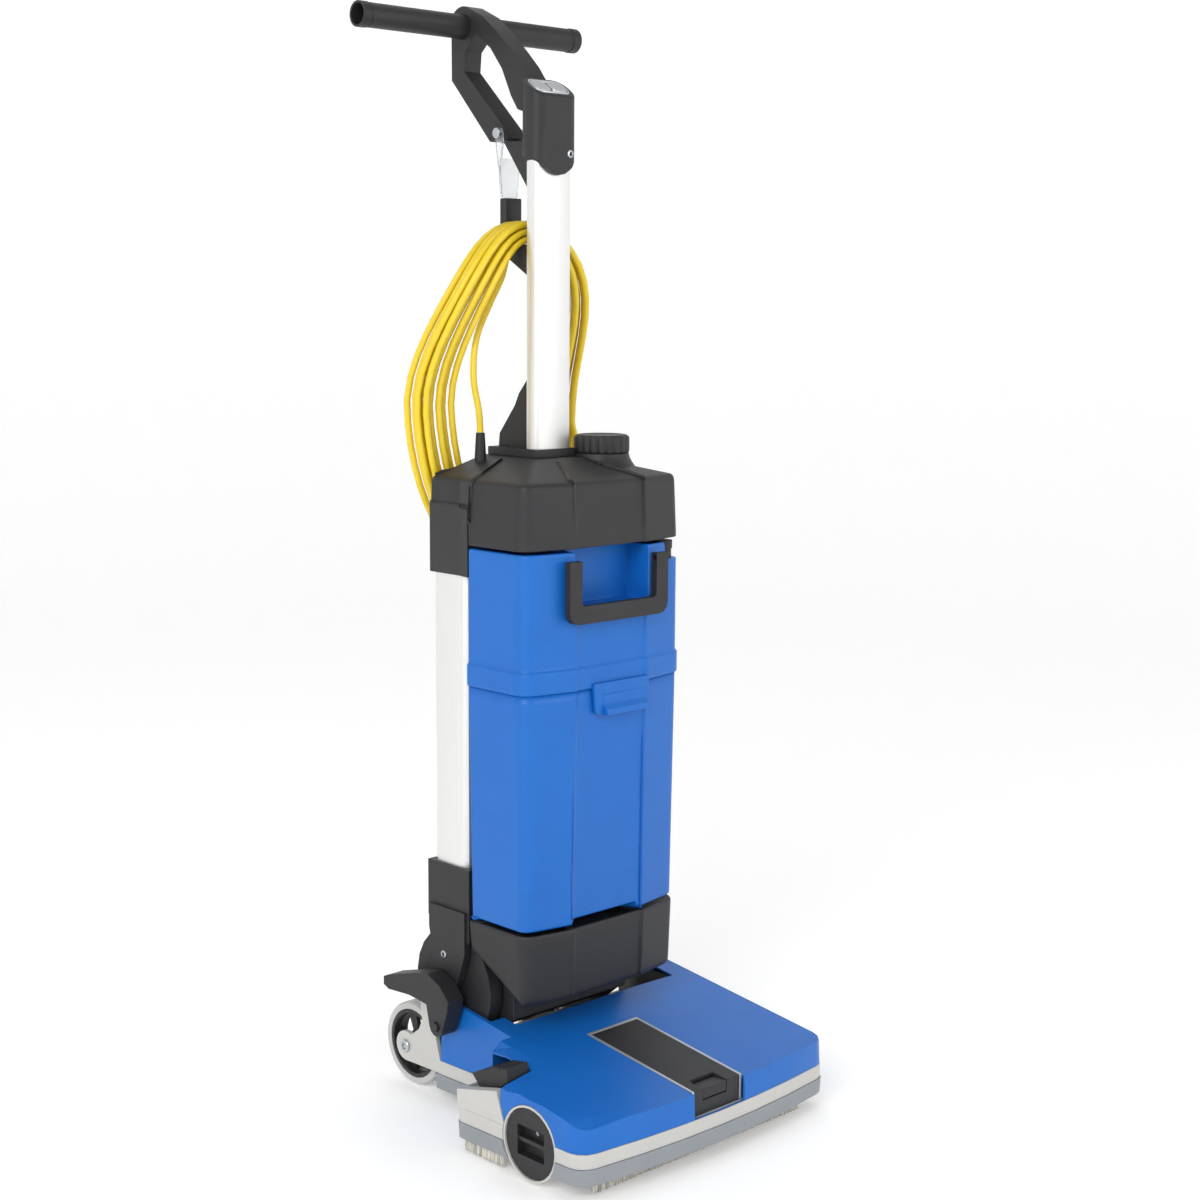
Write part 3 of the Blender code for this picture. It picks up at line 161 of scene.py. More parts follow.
def coil_points():
    """The turns: x = -width sin t and z = middle + half height cos t, with t falling all the way. Each turn's
    values blend into the next turn's over the lower quarter, and the depth swings back behind the housing."""
    start, stop = FIRST_ANGLE, FIRST_ANGLE - 2 * math.pi * (len(SEATS) - 1) - LAST_TURN
    t = np.linspace(start, stop, int((start - stop) / (2 * math.pi) * TURN_POINTS))
    turns = -t / (2 * math.pi)
    whole = np.floor(turns)
    blend = smooth_step((turns - whole - MOVE_FROM) / MOVE_SPAN)[:, None]
    here = np.array([seat_values(int(k)) for k in whole])
    ahead = np.array([seat_values(int(k) + 1) for k in whole])
    width, top, bottom, depth = (here + (ahead - here) * blend).T
    z = (top + bottom) / 2 + (top - bottom) / 2 * np.cos(t)
    x = FOOT_X * (1 - np.cos(t)) / 2 - width * np.sin(t)
    y = HOOK_Y + SWING_BACK * smooth_step((SWING_TOP - z) / SWING_SPAN) + depth
    return np.stack([x, y, z], -1)


def through(points, per_span):
    """Catmull-Rom curve: each stretch between two points is a cubic that its neighbours' chords steer."""
    p = np.asarray(points, float)
    p = np.vstack([2 * p[0] - p[1], p, 2 * p[-1] - p[-2]])
    t = (np.arange(per_span) / per_span)[None, :, None]
    a, b, c, d = (p[i:len(p) - 3 + i, None, :] for i in range(4))
    curve = 0.5 * (2 * b + (c - a) * t + (2 * a - 5 * b + 4 * c - d) * t ** 2 + (3 * b - a - 3 * c + d) * t ** 3)
    return np.vstack([curve.reshape(-1, 3), p[-2]])


turns = coil_points()
last, run = turns[-1], (turns[-1] - turns[-2]) * 0.030 / np.linalg.norm(turns[-1] - turns[-2])
TAIL_ROUTE = [last + run * 1.3, (0.0350, 0.1480, 0.5900), (0.0120, 0.1420, 0.5560), tuple(PLUG_TOP)]
lead = through(LEAD_ROUTE + [tuple(turns[0]), tuple(turns[1])], 4)[:-5]
tail = through([turns[-2], turns[-1]] + TAIL_ROUTE, 5)[6:]
route = np.vstack([lead, turns, tail])

# %% [markdown]
# A curve object with a round bevel is the simplest true cord: the points are its centreline, and the bevel
# is its sheath.

# %% Cord: the curve
cord_curve = bpy.data.curves.new("cord", "CURVE")
cord_curve.dimensions = "3D"
cord_curve.bevel_depth = CORD_R
cord_curve.bevel_resolution = 3
cord_curve.use_fill_caps = True
spline = cord_curve.splines.new("POLY")
spline.points.add(len(route) - 1)
spline.points.foreach_set("co", np.hstack([route, np.ones((len(route), 1))]).ravel())
cord = place(bpy.data.objects.new("mains_cord", cord_curve), "upright")
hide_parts("cord_lead", "cord_coil", "cord_tail")

# %% [markdown]
# The floor and wall behind the machine are one white sheet: a flat disc that curves up into a wall all
# round, so every view has the same even backdrop. The light is a broad soft box high at the front left,
# a weaker one to the right, and one overhead, as in a product studio.

# %% Studio
FLOOR_R, BEND_R, WALL_TOP = 3.4, 1.4, 4.2


def stage_points(around=96, along=14):
    """Radius and height follow a flat line, a quarter circle and an upright wall, turned about Z."""
    a = np.linspace(0, math.pi / 2, along)
    radius = np.concatenate([[0.001, FLOOR_R * 0.5], FLOOR_R + BEND_R * np.sin(a), [FLOOR_R + BEND_R]])
    height = np.concatenate([[0, 0], BEND_R * (1 - np.cos(a)), [WALL_TOP]])
    turn_angle = np.linspace(0, 2 * math.pi, around, endpoint=False)
    r, t = np.meshgrid(radius, turn_angle, indexing="ij")
    return np.stack([r * np.cos(t), r * np.sin(t), np.repeat(height[:, None], around, 1)], -1)


stage_mesh = bpy.data.meshes.new("studio_sheet")
stage_grid = stage_points()
stage_mesh.from_pydata(stage_grid.reshape(-1, 3).tolist(), [], grid_faces(*stage_grid.shape[:2]))
stage_mesh.shade_smooth()
studio = bpy.data.objects.new("studio_sheet", stage_mesh)
bpy.context.scene.collection.objects.link(studio)


def soft_box(name, place_at, aim, width, watts):
    """A square area light at a place, turned to face a point."""
    data = bpy.data.lights.new(name, "AREA")
    data.shape, data.size, data.energy = "SQUARE", width, watts
    light = bpy.data.objects.new(name, data)
    light.matrix_world = Matrix.Translation(place_at) @ (Vector(aim) - Vector(place_at)).to_track_quat(
        "-Z", "Y").to_matrix().to_4x4()
    bpy.context.scene.collection.objects.link(light)


soft_box("key_light", (-2.9, -1.5, 2.3), (0, 0, 0.5), 1.8, 58)
soft_box("side_light", (1.3, -3.1, 1.5), (0, 0, 0.5), 1.6, 17)
soft_box("top_light", (0.4, 0.9, 3.6), (0, 0, 0.4), 2.4, 22)
world = bpy.data.worlds.new("studio_world")
world.use_nodes = True
world.node_tree.nodes["Background"].inputs["Color"].default_value = (1, 1, 1, 1)
world.node_tree.nodes["Background"].inputs["Strength"].default_value = 0.38
bpy.context.scene.world = world
bpy.context.scene.view_settings.view_transform = "Standard"
print("studio floor", FLOOR_R, "m in radius")

# %% [markdown]
# Materials are node trees. Two small functions serve them all: one turns an sRGB hex colour into the
# linear numbers Blender wants, and one adds a node with its settings and links.

# %% Material helpers


def linear(hex_colour):
    """sRGB hex to linear RGBA: each channel / 12.92 when dark, else ((c + 0.055) / 1.055) to the 2.4."""
    c = np.array([int(hex_colour[i:i + 2], 16) / 255 for i in (1, 3, 5)])
    c = np.where(c <= 0.04045, c / 12.92, ((c + 0.055) / 1.055) ** 2.4)
    return (*c.tolist(), 1.0)


def add(tree, kind, settings=None, links=None):
    """Adds a node. Settings name its properties or inputs, and links give the socket behind an input."""
    node = tree.nodes.new(kind)
    for key, value in (settings or {}).items():
        if isinstance(key, str) and hasattr(node, key):
            setattr(node, key, value)
        else:
            node.inputs[key].default_value = value
    for key, socket in (links or {}).items():
        tree.links.new(socket, node.inputs[key])
    return node


def new_material(name):
    """An empty material, its shader and its Object coordinates."""
    mat = bpy.data.materials.new(name)
    mat.use_nodes = True
    shader = mat.node_tree.nodes["Principled BSDF"]
    return mat, mat.node_tree, shader, add(mat.node_tree, "ShaderNodeTexCoord").outputs["Object"]


# %% [markdown]
# Most of the machine is injection moulded plastic. Its mould was spark eroded, which leaves a fine
# pebbled grain, so light breaks up softly on it. Each moulding gets a cloudy colour change a few
# centimetres wide, too weak to see by itself, and the grain as a bump that also varies the gloss.
# The true grain is about 0.3 mm; it is drawn two or three times coarser so that it shows.

# %% Moulded plastics


def moulded(name, colour, shade, roughness, grain_mm, relief_mm, ior=1.5):
    """Plastic between two near colours, with a pebbled grain of a given width and height."""
    mat, tree, shader, place_on = new_material(name)
    cloud = add(tree, "ShaderNodeTexNoise", {"Scale": 1 / 0.045, "Detail": 3.0, "Roughness": 0.55},
                {"Vector": place_on})
    tint = add(tree, "ShaderNodeMix", {"data_type": "RGBA", 6: linear(colour), 7: linear(shade)},
               {0: cloud.outputs["Fac"]})
    grain = add(tree, "ShaderNodeTexNoise", {"Scale": 1000 / grain_mm, "Detail": 2.0, "Roughness": 0.6},
                {"Vector": place_on})
    gloss = add(tree, "ShaderNodeMapRange", {"To Min": roughness - 0.06, "To Max": roughness + 0.06},
                {"Value": grain.outputs["Fac"]})
    bump = add(tree, "ShaderNodeBump", {"Strength": 0.35, "Distance": relief_mm / 1000},
               {"Height": grain.outputs["Fac"]})
    tree.links.new(tint.outputs[2], shader.inputs["Base Color"])
    tree.links.new(gloss.outputs["Result"], shader.inputs["Roughness"])
    tree.links.new(bump.outputs["Normal"], shader.inputs["Normal"])
    shader.inputs["IOR"].default_value = ior
    return mat


# ABS with a satin grain: the saturated blue of the deck and tanks, with soft sheen along rounded edges
blue_abs = moulded("blue_abs_satin", "#1069C0", "#0C60B6", 0.40, 0.9, 0.10, 1.42)
# Glass-filled polypropylene: near black with a dry, coarser grain that greys it in grazing light
black_pp = moulded("black_polypropylene_grained", "#28282A", "#212123", 0.50, 0.8, 0.16, 1.45)
# ABS, light grey and smoother: the chassis tray reads as a clean pale band
light_abs = moulded("light_grey_abs", "#C4C3BF", "#BBBAB6", 0.40, 0.9, 0.07, 1.53)
# Thermoplastic bumper, darker and duller than the tray, so the skirt reads as a second band
grey_bumper = moulded("mid_grey_bumper_elastomer", "#8E9398", "#858A8F", 0.55, 1.1, 0.10)
# Injected rubber tyre: pale grey, matt, with a little dust in its colour
tyre_rubber = moulded("pale_grey_tyre_rubber", "#C3C3C2", "#B2B2B0", 0.62, 1.3, 0.16)
# Nitrile lips and belt: black and dull
lip_rubber = moulded("black_nitrile_rubber", "#1E1E1F", "#171718", 0.70, 1.0, 0.12)
# Switch rim and rockers: satin silver paint over plastic
silver_paint = moulded("silver_painted_plastic", "#C9CCCF", "#BEC2C5", 0.30, 0.5, 0.03)
silver_paint.node_tree.nodes["Principled BSDF"].inputs["Metallic"].default_value = 0.65
print("plastics ready")

# %% [markdown]
# The mast and the wide rear column are extruded aluminium, brushed along their length and then clear
# anodised. Brushing gives hair lines along Z: a noise squeezed to a third of a millimetre across and
# stretched to 90 mm along. Screws, shafts and the motor are zinc plated steel, which is cloudier.

# %% Metals


def metal(name, colour, shade, roughness, scale_xyz, relief_mm):
    """Metal whose noise is scaled apart in X, Y and Z, so that it can be streaky or cloudy."""
    mat, tree, shader, place_on = new_material(name)
    stretch = add(tree, "ShaderNodeMapping", {"Scale": scale_xyz}, {"Vector": place_on})
    streak = add(tree, "ShaderNodeTexNoise", {"Scale": 1.0, "Detail": 4.0, "Roughness": 0.6},
                 {"Vector": stretch.outputs["Vector"]})
    tint = add(tree, "ShaderNodeMix", {"data_type": "RGBA", 6: linear(colour), 7: linear(shade)},
               {0: streak.outputs["Fac"]})
    gloss = add(tree, "ShaderNodeMapRange", {"To Min": roughness - 0.07, "To Max": roughness + 0.07},
                {"Value": streak.outputs["Fac"]})
    bump = add(tree, "ShaderNodeBump", {"Strength": 0.3, "Distance": relief_mm / 1000},
               {"Height": streak.outputs["Fac"]})
    tree.links.new(tint.outputs[2], shader.inputs["Base Color"])
    tree.links.new(gloss.outputs["Result"], shader.inputs["Roughness"])
    tree.links.new(bump.outputs["Normal"], shader.inputs["Normal"])
    shader.inputs["Metallic"].default_value = 1.0
    return mat


# Clear anodised aluminium: almost white, satin, with fine upright hair lines
aluminium = metal("anodised_aluminium_brushed", "#EDEDEB", "#E2E2E0", 0.40, (1 / 0.0004, 1 / 0.0004, 1 / 0.09), 0.02)
aluminium.node_tree.nodes["Principled BSDF"].inputs["Metallic"].default_value = 0.85
# Zinc plate: bluish bright steel with soft clouds 6 mm across
zinc_steel = metal("zinc_plated_steel", "#C5C9CC", "#AEB3B7", 0.30, (160, 160, 160), 0.02)
print("metals ready")

# %% [markdown]
# The cord's sheath is extruded PVC in safety yellow, a little oily in its shine, with scuffs that change
# its gloss every centimetre or so. The brush and its dust curtains are nylon filament: pale strands,
# with streaks of painted shade standing for the gaps between tufts. The hook's keeper is a clear acrylic blade.

# %% Cord sheath, bristle and clear plastic
yellow_pvc, tree, shader, place_on = new_material("yellow_pvc_sheath")
scuff = add(tree, "ShaderNodeTexNoise", {"Scale": 1 / 0.012, "Detail": 3.0, "Roughness": 0.6}, {"Vector": place_on})
sheath = add(tree, "ShaderNodeMix", {"data_type": "RGBA", 6: linear("#EBD02F"), 7: linear("#DFC021")},
             {0: scuff.outputs["Fac"]})
sheath_gloss = add(tree, "ShaderNodeMapRange", {"To Min": 0.28, "To Max": 0.48}, {"Value": scuff.outputs["Fac"]})
tree.links.new(sheath.outputs[2], shader.inputs["Base Color"])
tree.links.new(sheath_gloss.outputs["Result"], shader.inputs["Roughness"])
shader.inputs["IOR"].default_value = 1.54

bristle_nylon, tree, shader, place_on = new_material("nylon_filament")
thin = add(tree, "ShaderNodeMapping", {"Scale": (1 / 0.0008, 1 / 0.0008, 1 / 0.02)}, {"Vector": place_on})
strand = add(tree, "ShaderNodeTexNoise", {"Scale": 1.0, "Detail": 2.0}, {"Vector": thin.outputs["Vector"]})
tuft_gap_shade = add(tree, "ShaderNodeValToRGB", {}, {"Fac": strand.outputs["Fac"]})
# The dark stop is painted shade for the gaps between tufts; the pale stop is the filament's own colour.
tuft_gap_shade.color_ramp.elements[0].position, tuft_gap_shade.color_ramp.elements[0].color = 0.32, linear("#77736A")
tuft_gap_shade.color_ramp.elements[1].position, tuft_gap_shade.color_ramp.elements[1].color = 0.62, linear("#DAD7CE")
strand_bump = add(tree, "ShaderNodeBump", {"Strength": 0.6, "Distance": 0.0004}, {"Height": strand.outputs["Fac"]})
tree.links.new(tuft_gap_shade.outputs["Color"], shader.inputs["Base Color"])
tree.links.new(strand_bump.outputs["Normal"], shader.inputs["Normal"])
shader.inputs["Roughness"].default_value = 0.5

clear_acrylic, tree, shader, place_on = new_material("clear_acrylic")
haze = add(tree, "ShaderNodeTexNoise", {"Scale": 1 / 0.004, "Detail": 2.0}, {"Vector": place_on})
haze_gloss = add(tree, "ShaderNodeMapRange", {"To Min": 0.04, "To Max": 0.16}, {"Value": haze.outputs["Fac"]})
tree.links.new(haze_gloss.outputs["Result"], shader.inputs["Roughness"])
shader.inputs["Base Color"].default_value = linear("#F2F5F7")
shader.inputs["Transmission Weight"].default_value = 0.85
shader.inputs["IOR"].default_value = 1.49

backdrop, tree, shader, place_on = new_material("matt_paper")
fibre = add(tree, "ShaderNodeTexNoise", {"Scale": 40.0, "Detail": 3.0}, {"Vector": place_on})
paper = add(tree, "ShaderNodeMix", {"data_type": "RGBA", 6: linear("#F7F7F7"), 7: linear("#F3F3F3")},
            {0: fibre.outputs["Fac"]})
tree.links.new(paper.outputs[2], shader.inputs["Base Color"])
shader.inputs["Roughness"].default_value = 0.9
shader.inputs["Emission Color"].default_value = (1, 1, 1, 1)
shader.inputs["Emission Strength"].default_value = 0.20   # lit from behind, as in a light tent
studio.data.materials.append(backdrop)

finishes = {"blue_plastic": blue_abs, "black_plastic": black_pp, "light_grey_plastic": light_abs,
            "mid_grey_plastic": grey_bumper, "grey_rubber": tyre_rubber, "black_rubber": lip_rubber,
            "silver_trim": silver_paint, "anodised_aluminium": aluminium, "zinc_steel": zinc_steel,
            "yellow_cord": yellow_pvc, "nylon_bristle": bristle_nylon, "clear_plastic": clear_acrylic}
cord.data.materials.append(yellow_pvc)
print(len(finishes), "finishes")

# %% [markdown]
# Every real moulding has rounded edges, because a sharp one wouldn't leave its mould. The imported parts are
# sharp, so each one whose outline is right is copied, its loose triangles merged and its flat faces made
# whole again, and a Bevel rounds its edges by the radius that such a piece has.

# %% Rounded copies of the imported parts
taken = set()


def stand_in(obj, *names):
    """Gives a new piece the body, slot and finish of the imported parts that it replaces."""
    place(obj, body_of[names[0]])
    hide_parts(*names)
    if not obj.data.materials:
        obj.data.materials.append(finishes[slot_of[names[0]]])
    taken.update(names)
    return obj


def extra(obj, body, slot):
    """A small added piece that rides on a body, such as a screw or a rib."""
    place(obj, body)
    obj.data.materials.append(finishes[slot])
    return obj


def rounded_copy(name, radius_mm, steps=3, angle=28):
    """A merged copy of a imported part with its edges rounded."""
    source = nodes[name]
    mesh = source.data.copy()
    mesh.materials.clear()
    bm = bmesh.new()
    bm.from_mesh(mesh)
    bmesh.ops.remove_doubles(bm, verts=bm.verts, dist=1e-6)
    bmesh.ops.dissolve_limit(bm, angle_limit=math.radians(1.0), verts=bm.verts, edges=bm.edges)
    bmesh.ops.recalc_face_normals(bm, faces=bm.faces)
    bm.to_mesh(mesh)
    bm.free()
    mesh.shade_smooth()
    mesh.set_sharp_from_angle(angle=math.radians(angle))
    obj = bpy.data.objects.new("rounded_" + name, mesh)
    stand_in(obj, name)
    bevel = obj.modifiers.new("edges", "BEVEL")
    bevel.width, bevel.segments = radius_mm / 1000, steps
    bevel.limit_method, bevel.angle_limit = "ANGLE", math.radians(angle)
    bevel.harden_normals = True
    return obj


# %% [markdown]
# The tanks, the base and the top cover share one plan: a middle panel set back a little between two
# facets, and large rounded front corners. Each body is that plan swept upwards while it grows or shrinks,
# so it is a function of two parameters: the way round the plan, and the height. Features of the front,
# such as the handle's recess, are smooth steps in depth added where the two parameters fall inside them.

# %% Shared plan of the tall mouldings


def corner_arcs(corners, radii, steps=9):
    """A closed outline whose corners are circular arcs: the arc's middle lies on the corner's bisector, and
    its two ends touch both sides at radius / tan(half the corner's angle)."""
    p = np.asarray(corners, float)
    before, after = np.roll(p, 1, 0) - p, np.roll(p, -1, 0) - p
    before /= np.linalg.norm(before, axis=1)[:, None]
    after /= np.linalg.norm(after, axis=1)[:, None]
    half = np.arccos(np.clip((before * after).sum(1), -1, 1)) / 2
    r = np.maximum(np.asarray(radii, float), 1e-5)
    bisector = before + after
    bisector /= np.linalg.norm(bisector, axis=1)[:, None]
    centre = p + bisector * (r / np.sin(half))[:, None]
    start, stop = p + before * (r / np.tan(half))[:, None], p + after * (r / np.tan(half))[:, None]
    a0 = np.arctan2(*(start - centre).T[::-1])
    a1 = np.arctan2(*(stop - centre).T[::-1])
    sweep = (a1 - a0 + math.pi) % (2 * math.pi) - math.pi
    t = np.linspace(0, 1, steps)
    a = a0[:, None] + sweep[:, None] * t
    arcs = centre[:, None] + r[:, None, None] * np.stack([np.cos(a), np.sin(a)], -1)
    return arcs.reshape(-1, 2)


def filled_in(outline, longest):
    """The same closed outline with points added along any side longer than a limit."""
    ends = np.roll(outline, -1, 0)
    counts = np.maximum(1, np.ceil(np.linalg.norm(ends - outline, axis=1) / longest).astype(int))
    parts = [a + (b - a) * np.linspace(0, 1, n, endpoint=False)[:, None] for a, b, n in zip(outline, ends, counts)]
    return np.vstack(parts)


def inward(outline):
    """Unit vectors that point into a closed outline, square to its sides."""
    tangent = np.roll(outline, -1, 0) - np.roll(outline, 1, 0)
    tangent /= np.maximum(np.linalg.norm(tangent, axis=1), 1e-9)[:, None]
    area = (outline[:, 0] * np.roll(outline[:, 1], -1) - np.roll(outline[:, 0], -1) * outline[:, 1]).sum()
    side = 1 if area > 0 else -1
    return np.stack([-tangent[:, 1], tangent[:, 0]], -1) * side


def window(value, low, high, soft):
    """1 between two limits and 0 outside them, with an S-shaped change as wide as soft."""
    return smooth_step((value - low) / soft + 0.5) * smooth_step((high - value) / soft + 0.5)


PANEL = (-0.0490, 0.0465)     # the middle panel, between the left and the right facet
PANEL_STEP = 0.0018
FACET_FALL = 0.012


def tall_plan(half, front, rear, rear_radius=0.003, longest=0.0016):
    """Plan with facets that fall back towards the corners, and a middle panel set back by a step."""
    corners = [(-half, rear), (-half, front + FACET_FALL), (-0.049, front), (0.049, front),
               (half, front + FACET_FALL), (half, rear)]
    plan = filled_in(corner_arcs(corners, [rear_radius, 0.016, 0.004, 0.004, 0.016, rear_radius]), longest)
    on_front = plan[:, 1] < front + FACET_FALL
    left = smooth_step((plan[:, 0] - PANEL[0]) / 0.0060 + 0.5)
    right = smooth_step((PANEL[1] - plan[:, 0]) / 0.0020 + 0.5)
    plan[:, 1] += on_front * PANEL_STEP * left * right
    return plan


def swept(plan, heights, insets):
    """Rows of the plan at each height, each shrunk inwards. Heights may be a row per point of the plan."""
    heights, insets = np.asarray(heights, float), np.asarray(insets, float)
    side = inward(plan)
    grid = np.empty((len(heights), len(plan), 3))
    grid[..., :2] = plan[None] + side[None] * insets.reshape(len(heights), -1)[..., None]
    grid[..., 2] = heights.reshape(len(heights), -1)
    return grid


def edge_rows(low, high, radius, steps=5):
    """Heights and insets of a wall whose lower and upper edges are quarter circles."""
    a = np.linspace(0, math.pi / 2, steps)
    heights = np.concatenate([low + radius * (1 - np.cos(a)), high - radius * (1 - np.cos(a[::-1]))])
    insets = np.concatenate([radius * (1 - np.sin(a)), radius * (1 - np.sin(a[::-1]))])
    return heights, insets


tank_plan = tall_plan(0.110, -0.047, 0.050)
print("tank plan:", len(tank_plan), "points")

# %% [markdown]
# The clean-water tank is a plain bucket. Its foot is notched across the middle panel, where a hand can
# get under it, and a wall of 3 mm is grown inwards from its outer surface.

# %% Lower tank


def walled(obj, thickness_mm):
    """Grows a wall inwards from an open surface."""
    wall = obj.modifiers.new("wall", "SOLIDIFY")
    wall.thickness, wall.offset, wall.use_even_offset = thickness_mm / 1000, -1.0, False
    return obj


def open_shell(name, grid, smooth=35, closed_row=0):
    """A surface closed at its first (0) or last (-1) row by a fan of triangles, and open at the other."""
    rows, columns = grid.shape[:2]
    mesh = bpy.data.meshes.new(name)
    floor_point = grid[closed_row].mean(0)
    faces = grid_faces(rows, columns)
    centre = rows * columns
    ring = np.arange(columns) + (rows - 1) * columns * (closed_row == -1)
    fan = [np.full(columns, centre), np.roll(ring, -1), ring]
    faces += np.stack(fan if closed_row == 0 else [fan[0], fan[2], fan[1]], -1).tolist()
    mesh.from_pydata(np.vstack([grid.reshape(-1, 3), floor_point]).tolist(), [], faces)
    mesh.shade_smooth()
    mesh.set_sharp_from_angle(angle=math.radians(smooth))
    return bpy.data.objects.new(name, mesh)


LOWER_LOW, LOWER_HIGH = 0.2135, 0.4565
EDGE_STEPS, WALL_ROWS = 5, 24
FOOT_TAPER, NOTCH_RISE = 0.0030, 0.0058
heights, insets = (rows[:-EDGE_STEPS] for rows in edge_rows(LOWER_LOW, LOWER_HIGH, 0.0030))
heights = np.concatenate([heights, np.linspace(0.225, LOWER_HIGH, WALL_ROWS)])
insets = np.concatenate([insets, np.zeros(WALL_ROWS)])
insets += FOOT_TAPER * np.clip((LOWER_HIGH - heights) / (LOWER_HIGH - LOWER_LOW), 0, 1)
lower = swept(tank_plan, heights, insets)
FRONT_Y = -0.030              # points in front of this belong to the front faces
notch = window(tank_plan[:, 0], -0.0500, 0.0420, 0.004) * (tank_plan[:, 1] < FRONT_Y)
lower[..., 2] += NOTCH_RISE * notch[None] * np.clip((0.2300 - heights) / 0.0165, 0, 1)[:, None]
lower_tank = walled(open_shell("lower_tank_wall", lower), 3.0)
stand_in(lower_tank, "solution_tank")
print("lower tank", lower.shape)

# %% [markdown]
# The dirty-water tank sits on the lower one with a lip that stands 2 mm proud, bright along its upper
# chamfer. Its front has the carry handle's recess, 100 mm wide and 35 mm deep with rounded walls, and its
# top right corner is cut down to make room for the pouring spout.

# %% Upper tank
upper_plan = tall_plan(0.110, -0.047, 0.050, longest=0.0011)
z_lip = np.concatenate([[0.4570, 0.4573, 0.4580], np.linspace(0.4600, 0.4775, 8), [0.4785, 0.4795, 0.4808, 0.4818]])
lip_out = np.concatenate([[-0.0010, -0.0016, -0.0020], np.full(8, -0.0022), [-0.0022, -0.0014, -0.0004, 0.0]])
UPPER_ROWS = 108
z_wall = np.linspace(0.4850, 0.5940, UPPER_ROWS)
z_top = np.array([0.5950, 0.5958, 0.5965, 0.5970])
heights = np.concatenate([z_lip, z_wall, z_top])
insets = np.concatenate([lip_out, np.zeros(UPPER_ROWS), [0.0001, 0.0005, 0.0012, 0.0022]])
upper = swept(upper_plan, heights, insets)
x, z = upper[..., 0], upper[..., 2]
front_side = upper_plan[None, :, 1] < FRONT_Y
recess = window(x, -0.0505, 0.0505, 0.0026) * smooth_step((z - 0.5380) / 0.0032) * front_side
RECESS_BACK_Y = -0.0160
upper[..., 1] += recess * (RECESS_BACK_Y - upper[..., 1])
SPOUT_FLOOR_Z = 0.5780
at_spout = smooth_step((upper[..., 0] - 0.0810) / 0.0030 + 0.5) * smooth_step((-0.0110 - upper[..., 1]) / 0.003 + 0.5)
upper[..., 2] -= at_spout * np.maximum(upper[..., 2] - SPOUT_FLOOR_Z, 0)
upper_tank = walled(open_shell("upper_tank_wall", upper, 40), 2.6)
stand_in(upper_tank, "recovery_tank")
print("upper tank", upper.shape)

# %% [markdown]
# The lip's tongue, which carries the latch, is a flat slab with rounded edges: a closed outline pushed
# through its thickness, shrinking along a quarter circle at each face. The same surface makes the floor
# under the pouring spout.

# %% Slabs


def slab(name, outline, axis, low, high, radius, smooth=35):
    """An outline pushed along X, Y or Z from low to high, with both edges rounded by a quarter circle."""
    depth, insets = edge_rows(low, high, radius)
    side = inward(outline)
    rows = outline[None] + side[None] * insets[:, None, None]
    order = {"X": (2, 0, 1), "Y": (0, 2, 1), "Z": (0, 1, 2)}[axis]
    full = np.concatenate([rows, np.repeat(depth[:, None, None], len(outline), 1)], -1)[..., list(order)]
    return bpy.data.objects.new(name, grid_mesh(name, full, smooth=smooth))


tongue = corner_arcs([(-0.0290, 0.4620), (-0.0262, 0.4300), (0.0482, 0.4300), (0.0490, 0.4620)],
                     [0.001, 0.005, 0.005, 0.001])
extra(slab("tank_tongue", tongue, "Y", -0.0508, -0.0462, 0.0008), "upper_tank", "blue_plastic")
spout_floor = corner_arcs([(0.0795, -0.0105), (0.0795, -0.0372), (0.1075, -0.0340), (0.1085, -0.0105)],
                          [0.001, 0.001, 0.010, 0.001])
extra(slab("spout_floor", spout_floor, "Z", 0.5740, SPOUT_FLOOR_Z, 0.0006), "upper_tank", "blue_plastic")

# %% [markdown]
# The black base carries the tanks. It has the tanks' plan, a rim that catches the light, and a lower edge
# that rises towards the back so that the upright can lean. The top cover has the same plan too, wrapped
# round the rear column, and a hipped roof that closes on the mast's foot.

# %% Base and top cover
base_plan = tall_plan(0.1085, -0.0465, 0.052)
BASE_LOW, BASE_SLOPE, SLOPE_FROM_Y = 0.1370, 0.53, -0.028
base_low = BASE_LOW + BASE_SLOPE * np.maximum(base_plan[:, 1] - SLOPE_FROM_Y, 0)
share = np.concatenate([[0, 0.02, 0.05], np.linspace(0.10, 0.93, 14), [0.965, 0.985, 1.0, 1.0, 1.0]])
base_in = np.concatenate([[0.0045, 0.0032, 0.0024], np.linspace(0.0020, 0.0, 14),
                          [0.0, 0.0004, 0.0014, 0.0040, 0.0120]])
BASE_HIGH = 0.2100
base_rows = base_low[None] + (BASE_HIGH - base_low)[None] * share[:, None]
base_grid = swept(base_plan, base_rows, base_in)
base_grid[-2:, :, 2] -= np.array([0.0006, 0.0030])[:, None]
base_shell = walled(open_shell("base_moulding", base_grid, closed_row=-1), 2.4)
stand_in(base_shell, "base_housing")

cover_corners = [(-0.106, 0.119), (-0.106, 0.070), (-0.111, 0.047), (-0.111, -0.034), (-0.049, -0.046),
                 (0.049, -0.046), (0.111, -0.034), (0.111, 0.047), (0.106, 0.070), (0.106, 0.119)]
cover_radii = [0.006, 0.001, 0.001, 0.016, 0.004, 0.004, 0.016, 0.001, 0.001, 0.006]
cover_plan = filled_in(corner_arcs(cover_corners, cover_radii), 0.0016)
panel_in = (smooth_step((cover_plan[:, 0] - PANEL[0]) / 0.0060 + 0.5)
            * smooth_step((PANEL[1] - cover_plan[:, 0]) / 0.0020 + 0.5) * (cover_plan[:, 1] < FRONT_Y))
cover_plan[:, 1] += PANEL_STEP * panel_in
wall_z = np.concatenate([[0.6000, 0.6003, 0.6010], np.linspace(0.603, 0.6590, 12), [0.6615, 0.6635, 0.6650, 0.6660]])
wall_in = np.concatenate([[0.0012, 0.0005, 0.0001], np.linspace(0.0001, 0.0026, 12),
                          [0.0030, 0.0038, 0.0052, 0.0070]])
cover_wall = swept(cover_plan, wall_z, wall_in)
behind = cover_plan[:, 1] > 0.0480
